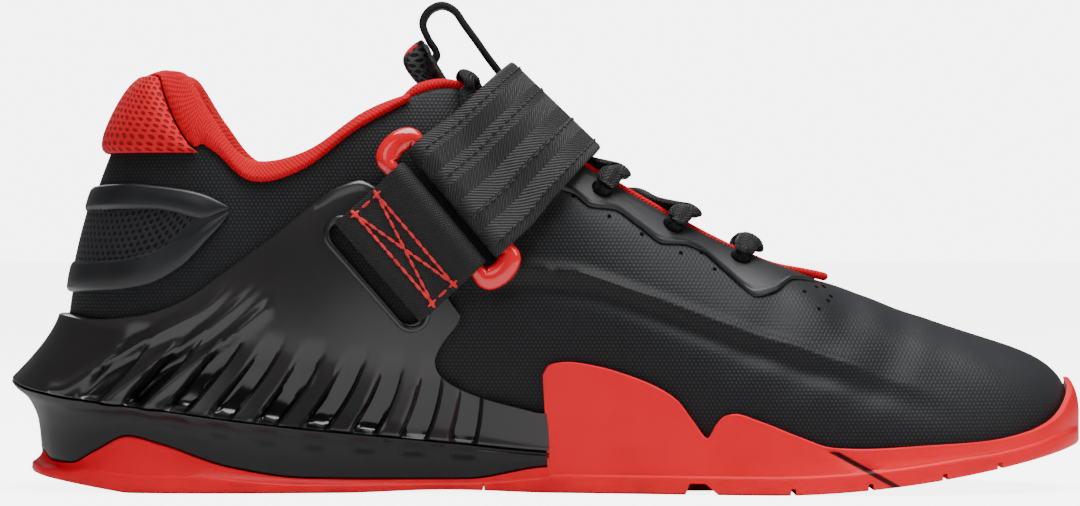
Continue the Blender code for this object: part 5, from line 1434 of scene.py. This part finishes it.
def makeLaces():
    look, fit = laceShape, shoe["fit"]
    clear = fit + stayShape["thick"] + look["thin"] + 0.0002
    overEdge = look["wallRound"] + fit * 2 + look["thin"]
    steps = look["steps"]

    def braid(name, points, *nodes, bothEnds=False):
        path = evenPath(smoothPath(points, 10), steps)
        mark = np.linspace(0, 1, steps)
        into = np.minimum(mark, 1 - mark) if bothEnds else mark
        narrow = np.interp(into, (0, 0.05, 0.13), (0.55, 0.7, 1.0))
        thicker = np.interp(into, (0, 0.05, 0.13), (1.45, 1.2, 1.0))
        piece = sweep(name, path, laceBraid, look["half"], look["thin"], np.tile(throatUp, (steps, 1)), sides=18,
                      ends=(narrow, thicker))
        shows(piece, "black_webbing", *nodes)

    for index in (1, 2, 3):
        along, far = eyeletAlong[index][0], eyeletAlong[index - 1][0]
        for side in (-1, 1):
            over = 0.0016 if side < 0 else -0.0008  # one strand lies over the other where they cross
            start, hole = (laceAnchor(side, index, lift) for lift in (clear, look["sunk"]))
            edge = throatPoint(side, along + 1.1, overEdge + 0.0004, 1.04)
            middle = (along + far) / 2
            points = [hole, start, (start + edge) / 2 + np.array([0, side * 0.0006, 0.0010]), edge,
                      throatPoint(side, middle + 1.9, overEdge - 0.0022, 0.60),
                      throatPoint(side, middle + 0.3, over, 0.0),
                      throatPoint(-side, far + 2.2, -0.0014, 0.35), throatPoint(-side, far + 1.9, -0.0034, 0.55)]
            braid("laceCross%d%s" % (index, "Inner" if side < 0 else "Outer"), points, "lace_cross_%d" % index)
    for name, index, bow in (("lace_top", 0, -0.6), ("lace_bottom", 4, 1.0)):
        along = eyeletAlong[index][0]
        left, right = (laceAnchor(side, index, clear) for side in (-1, 1))
        leftHole, rightHole = (laceAnchor(side, index, look["sunk"]) for side in (-1, 1))
        near, far = (throatPoint(side, along + bow * 0.5, overEdge + 0.0003, 1.04) for side in (-1, 1))
        rise = np.array([0, 0, 0.0009])
        points = [leftHole, left, (left + near) / 2 + rise, near,
                  throatPoint(1, along + bow, overEdge - 0.0008, 0.0), far, (right + far) / 2 + rise, right, rightHole]
        braid(name.replace("lace_", "laceBar."), points, name, bothEnds=True)


makeLaces()
print("laces made")

# What repeats: stitches along a line and punched holes at points, as Geometry Nodes
def nodeTree(name, inputs):
    tree = bpy.data.node_groups.new(name, "GeometryNodeTree")
    tree.interface.new_socket("Geometry", in_out="INPUT", socket_type="NodeSocketGeometry")
    for label, kind, value in inputs:
        socket = tree.interface.new_socket(label, in_out="INPUT", socket_type=kind)
        if value is not None:
            socket.default_value = value
    tree.interface.new_socket("Geometry", in_out="OUTPUT", socket_type="NodeSocketGeometry")
    return tree, tree.nodes.new("NodeGroupInput"), tree.nodes.new("NodeGroupOutput")


def finishTree(tree, instances, material, end):
    real = tree.nodes.new("GeometryNodeRealizeInstances")
    dress = tree.nodes.new("GeometryNodeSetMaterial")
    tree.links.new(instances, real.inputs[0])
    tree.links.new(real.outputs[0], dress.inputs["Geometry"])
    tree.links.new(material, dress.inputs["Material"])
    tree.links.new(dress.outputs[0], end.inputs[0])


def stitchNodes():
    tree, start, end = nodeTree("stitchRow", (("Pitch", floatKind, 0.003), ("Stitch", floatKind, 0.0022),
                                              ("Thread", floatKind, 0.0003), ("Material", "NodeSocketMaterial", None)))
    link, new = tree.links.new, tree.nodes.new
    curve = new("GeometryNodeMeshToCurve")
    even = new("GeometryNodeResampleCurve")
    even.mode = "LENGTH"
    bead = new("GeometryNodeMeshUVSphere")
    bead.inputs["Segments"].default_value = 8
    bead.inputs["Rings"].default_value = 6
    bead.inputs["Radius"].default_value = 1.0
    size = new("ShaderNodeCombineXYZ")
    half = new("ShaderNodeMath")
    half.operation = "MULTIPLY"
    half.inputs[1].default_value = 0.5
    put = new("GeometryNodeInstanceOnPoints")
    turn = new("FunctionNodeAlignRotationToVector")
    turn.axis = "Z"
    tangent = new("GeometryNodeInputTangent")
    link(start.outputs["Geometry"], curve.inputs["Mesh"])
    link(curve.outputs[0], even.inputs["Curve"])
    link(start.outputs["Pitch"], even.inputs["Length"])
    link(even.outputs[0], put.inputs["Points"])
    link(bead.outputs["Mesh"], put.inputs["Instance"])
    link(tangent.outputs[0], turn.inputs["Vector"])
    link(turn.outputs[0], put.inputs["Rotation"])
    link(start.outputs["Stitch"], half.inputs[0])
    link(start.outputs["Thread"], size.inputs[0])
    link(start.outputs["Thread"], size.inputs[1])
    link(half.outputs[0], size.inputs[2])
    link(size.outputs[0], put.inputs["Scale"])
    finishTree(tree, put.outputs[0], start.outputs["Material"], end)
    return tree


def punchNodes():
    tree, start, end = nodeTree("punchedHoles", (("Radius", floatKind, 0.0006), ("Depth", floatKind, 0.0003),
                                                 ("Material", "NodeSocketMaterial", None)))
    link, new = tree.links.new, tree.nodes.new
    disc = new("GeometryNodeMeshCylinder")
    disc.inputs["Vertices"].default_value = 16
    points = new("GeometryNodeMeshToPoints")
    put = new("GeometryNodeInstanceOnPoints")
    facing = new("GeometryNodeInputNamedAttribute")
    facing.data_type = "FLOAT_VECTOR"
    facing.inputs["Name"].default_value = "facing"
    turn = new("FunctionNodeAlignRotationToVector")
    turn.axis = "Z"
    link(start.outputs["Geometry"], points.inputs["Mesh"])
    link(points.outputs[0], put.inputs["Points"])
    link(start.outputs["Radius"], disc.inputs["Radius"])
    link(start.outputs["Depth"], disc.inputs["Depth"])
    link(disc.outputs["Mesh"], put.inputs["Instance"])
    link(facing.outputs["Attribute"], turn.inputs["Vector"])
    link(turn.outputs[0], put.inputs["Rotation"])
    finishTree(tree, put.outputs[0], start.outputs["Material"], end)
    return tree


def grown(name, points, edges, tree, slotName, facing=None, **values):
    mesh = bpy.data.meshes.new(name)
    mesh.from_pydata(np.asarray(points, float).tolist(), edges, [])
    if facing is not None:
        layer = mesh.attributes.new("facing", "FLOAT_VECTOR", "POINT")
        layer.data.foreach_set("vector", np.asarray(facing, float).ravel())
    made = bpy.data.objects.new(name, mesh)
    bpy.context.scene.collection.objects.link(made)
    modifier = made.modifiers.new("grow", "NODES")
    modifier.node_group = tree
    for item in tree.interface.items_tree:
        if item.item_type == "SOCKET" and item.in_out == "INPUT" and item.name in values:
            modifier[item.identifier] = values[item.name]
    plain(made)
    for face in made.data.polygons:
        face.use_smooth = True
    return shows(made, slotName)


stitchRow, punchedHoles = stitchNodes(), punchNodes()
boxStitch = {"Pitch": 0.0029, "Stitch": 0.0031, "Thread": 0.00044}
boxPlace = {"margin": 0.0018, "fromSlot": 0.0062, "fromRing": 0.0072, "lift": 0.00015}
strapStitch = {"Pitch": 0.0026, "Stitch": 0.0020, "Thread": 0.00032}
strapRows = {"across": (-0.0158, -0.0065, 0.0065, 0.0158), "lift": 0.00012}


def chain(lines):  # several lines as one set of points and edges
    points, edges = [], []
    for line in lines:
        edges += [(len(points) + i, len(points) + i + 1) for i in range(len(line) - 1)]
        points += [tuple(p) for p in line]
    return points, edges


def makeStitches():
    place = sidePlace(-1)
    upper = np.array(webPath()[-26:])  # the part of the web that lies on top
    half = webShape["wide"] / 2 - boxPlace["margin"]
    near, far = slotDistance + boxPlace["fromSlot"], -ringShape["reach"] / 2 - boxPlace["fromRing"]
    corners = [(near, -half), (near, half), (far, half), (far, -half)]
    lines = []
    for i, j in ((0, 1), (1, 2), (2, 3), (3, 0), (0, 2), (1, 3)):
        s, q = (np.linspace(corners[i][k], corners[j][k], 40) for k in (0, 1))
        high = np.interp(-s, -upper[:, 0], upper[:, 1]) + webShape["thick"] / 2 + boxPlace["lift"]
        lines.append(place(s, high, q))
    grown("boxStitch", *chain(lines), stitchRow, "red_knit", Material=redThread, **boxStitch)
    path = np.array(strapLine)
    tangent = unit(np.gradient(path, axis=0))
    normal = np.stack([-tangent[:, 1], tangent[:, 0]], -1)
    start = int(np.argmin(path[:, 0])) + 6  # past the bend round the ring
    top = path[start:] + normal[start:] * (strapShape["thick"] / 2 + strapRows["lift"])
    lines = [bed.place(*top.T, q) for q in strapRows["across"]]
    grown("strapStitch", *chain(lines), stitchRow, "black_webbing", Material=darkThread, **strapStitch)


makeStitches()

stayPunches = ((52.7, 69.1), (56.0, 64.4), (57.8, 64.2), (59.0, 60.2), (62.6, 55.8), (64.5, 55.8), (65.7, 52.0))
vampPunches = ((74.4, 49.7), (75.2, 47.6), (74.0, 46.6), (76.1, 47.8), (77.0, 47.6), (76.2, 44.5), (75.2, 42.6),
               (77.2, 45.5), (78.1, 45.5), (79.0, 45.5))


holeShape = {"proud": 0.00004, "depth": 0.0003, "punch": 0.00058, "eyelet": 0.0030}


def makeHoles(name, places, lift, radius, surfaces):  # flat dark discs on the surface named for each side: they mark the real punched holes and eyelets, and their darkness is painted shade inside them
    spots, facings = [], []
    for side, surface in zip((-1, 1), surfaces):
        for along, height in places:
            spot, _ = standOff(side, lengthAt(along), tall(height), lift)
            _, place, normal, _ = bpy.data.objects[surface].closest_point_on_mesh(Vector(spot))
            spots.append(place + normal * holeShape["proud"])
            facings.append(normal)
    grown(name, spots, [], punchedHoles, "black_film", facings, Material=holeShade, Radius=radius,
          Depth=holeShape["depth"])


makeHoles("punchHoles", stayPunches + vampPunches, 0.0, holeShape["punch"], ("upperShell", "upperShell"))
makeHoles("eyeletHoles", eyeletAlong, 0.0012, holeShape["eyelet"], ("eyestayFilm.inner", "eyestayFilm.outer"))
print("stitches and holes made")

# Floor, light and camera
studio = {"floor": 30.0, "world": 0.09, "backdrop": 6.0, "scale": 0.000282, "distance": 1.25, "sensor": 36.0,
          "pictureWidth": 1080, "lookAcross": -0.00113, "lookHeight": 0.0658, "setBack": 0.002}


def makeStage():
    size = studio["floor"]
    corners = [(-size, -size, 0), (size, -size, 0), (size, size, 0), (-size, size, 0)]
    meshObject("floor", corners, [(0, 1, 2, 3)], paleFloor)
    world = bpy.data.worlds.new("studioAir")
    world.use_nodes = True
    n = Nodes(world.node_tree)
    shine = world.node_tree.nodes["Background"]
    shine.inputs["Color"].default_value = (1.0, 1.0, 1.0, 1.0)
    seen = n.add("ShaderNodeLightPath").outputs["Is Camera Ray"]
    n.feed(shine.inputs["Strength"], n.span(seen, 0.0, 1.0, to=(studio["world"], studio["backdrop"])))
    bpy.context.scene.world = world
    lamps = (("topBox", (0.1, -0.12, 1.3), 1.0, 26.0), ("frontBox", (-0.5, -1.6, 1.1), 0.7, 2.7),
             ("toeBox", (1.2, -0.7, 0.8), 0.6, 5.0), ("backBox", (-0.3, 1.3, 0.9), 0.9, 7.0))
    for name, place, wideness, power in lamps:
        lamp = bpy.data.lights.new(name, "AREA")
        lamp.shape = "SQUARE"
        lamp.size = wideness
        lamp.energy = power
        made = bpy.data.objects.new(name, lamp)
        made.location = place
        made.rotation_euler = (Vector((0, 0, 0.05)) - Vector(place)).to_track_quat("-Z", "Y").to_euler()
        bpy.context.scene.collection.objects.link(made)


def makeCamera():
    data = bpy.data.cameras.new("photoCamera")
    data.sensor_width = studio["sensor"]
    data.lens = studio["sensor"] / studio["pictureWidth"] * studio["distance"] / studio["scale"]
    camera = bpy.data.objects.new("photoCamera", data)
    camera.location = (studio["lookAcross"], -studio["distance"] - studio["setBack"], studio["lookHeight"])
    camera.rotation_euler = (math.pi / 2, 0, 0)
    bpy.context.scene.collection.objects.link(camera)
    bpy.context.scene.camera = camera


makeStage()
makeCamera()
print("scene ready")
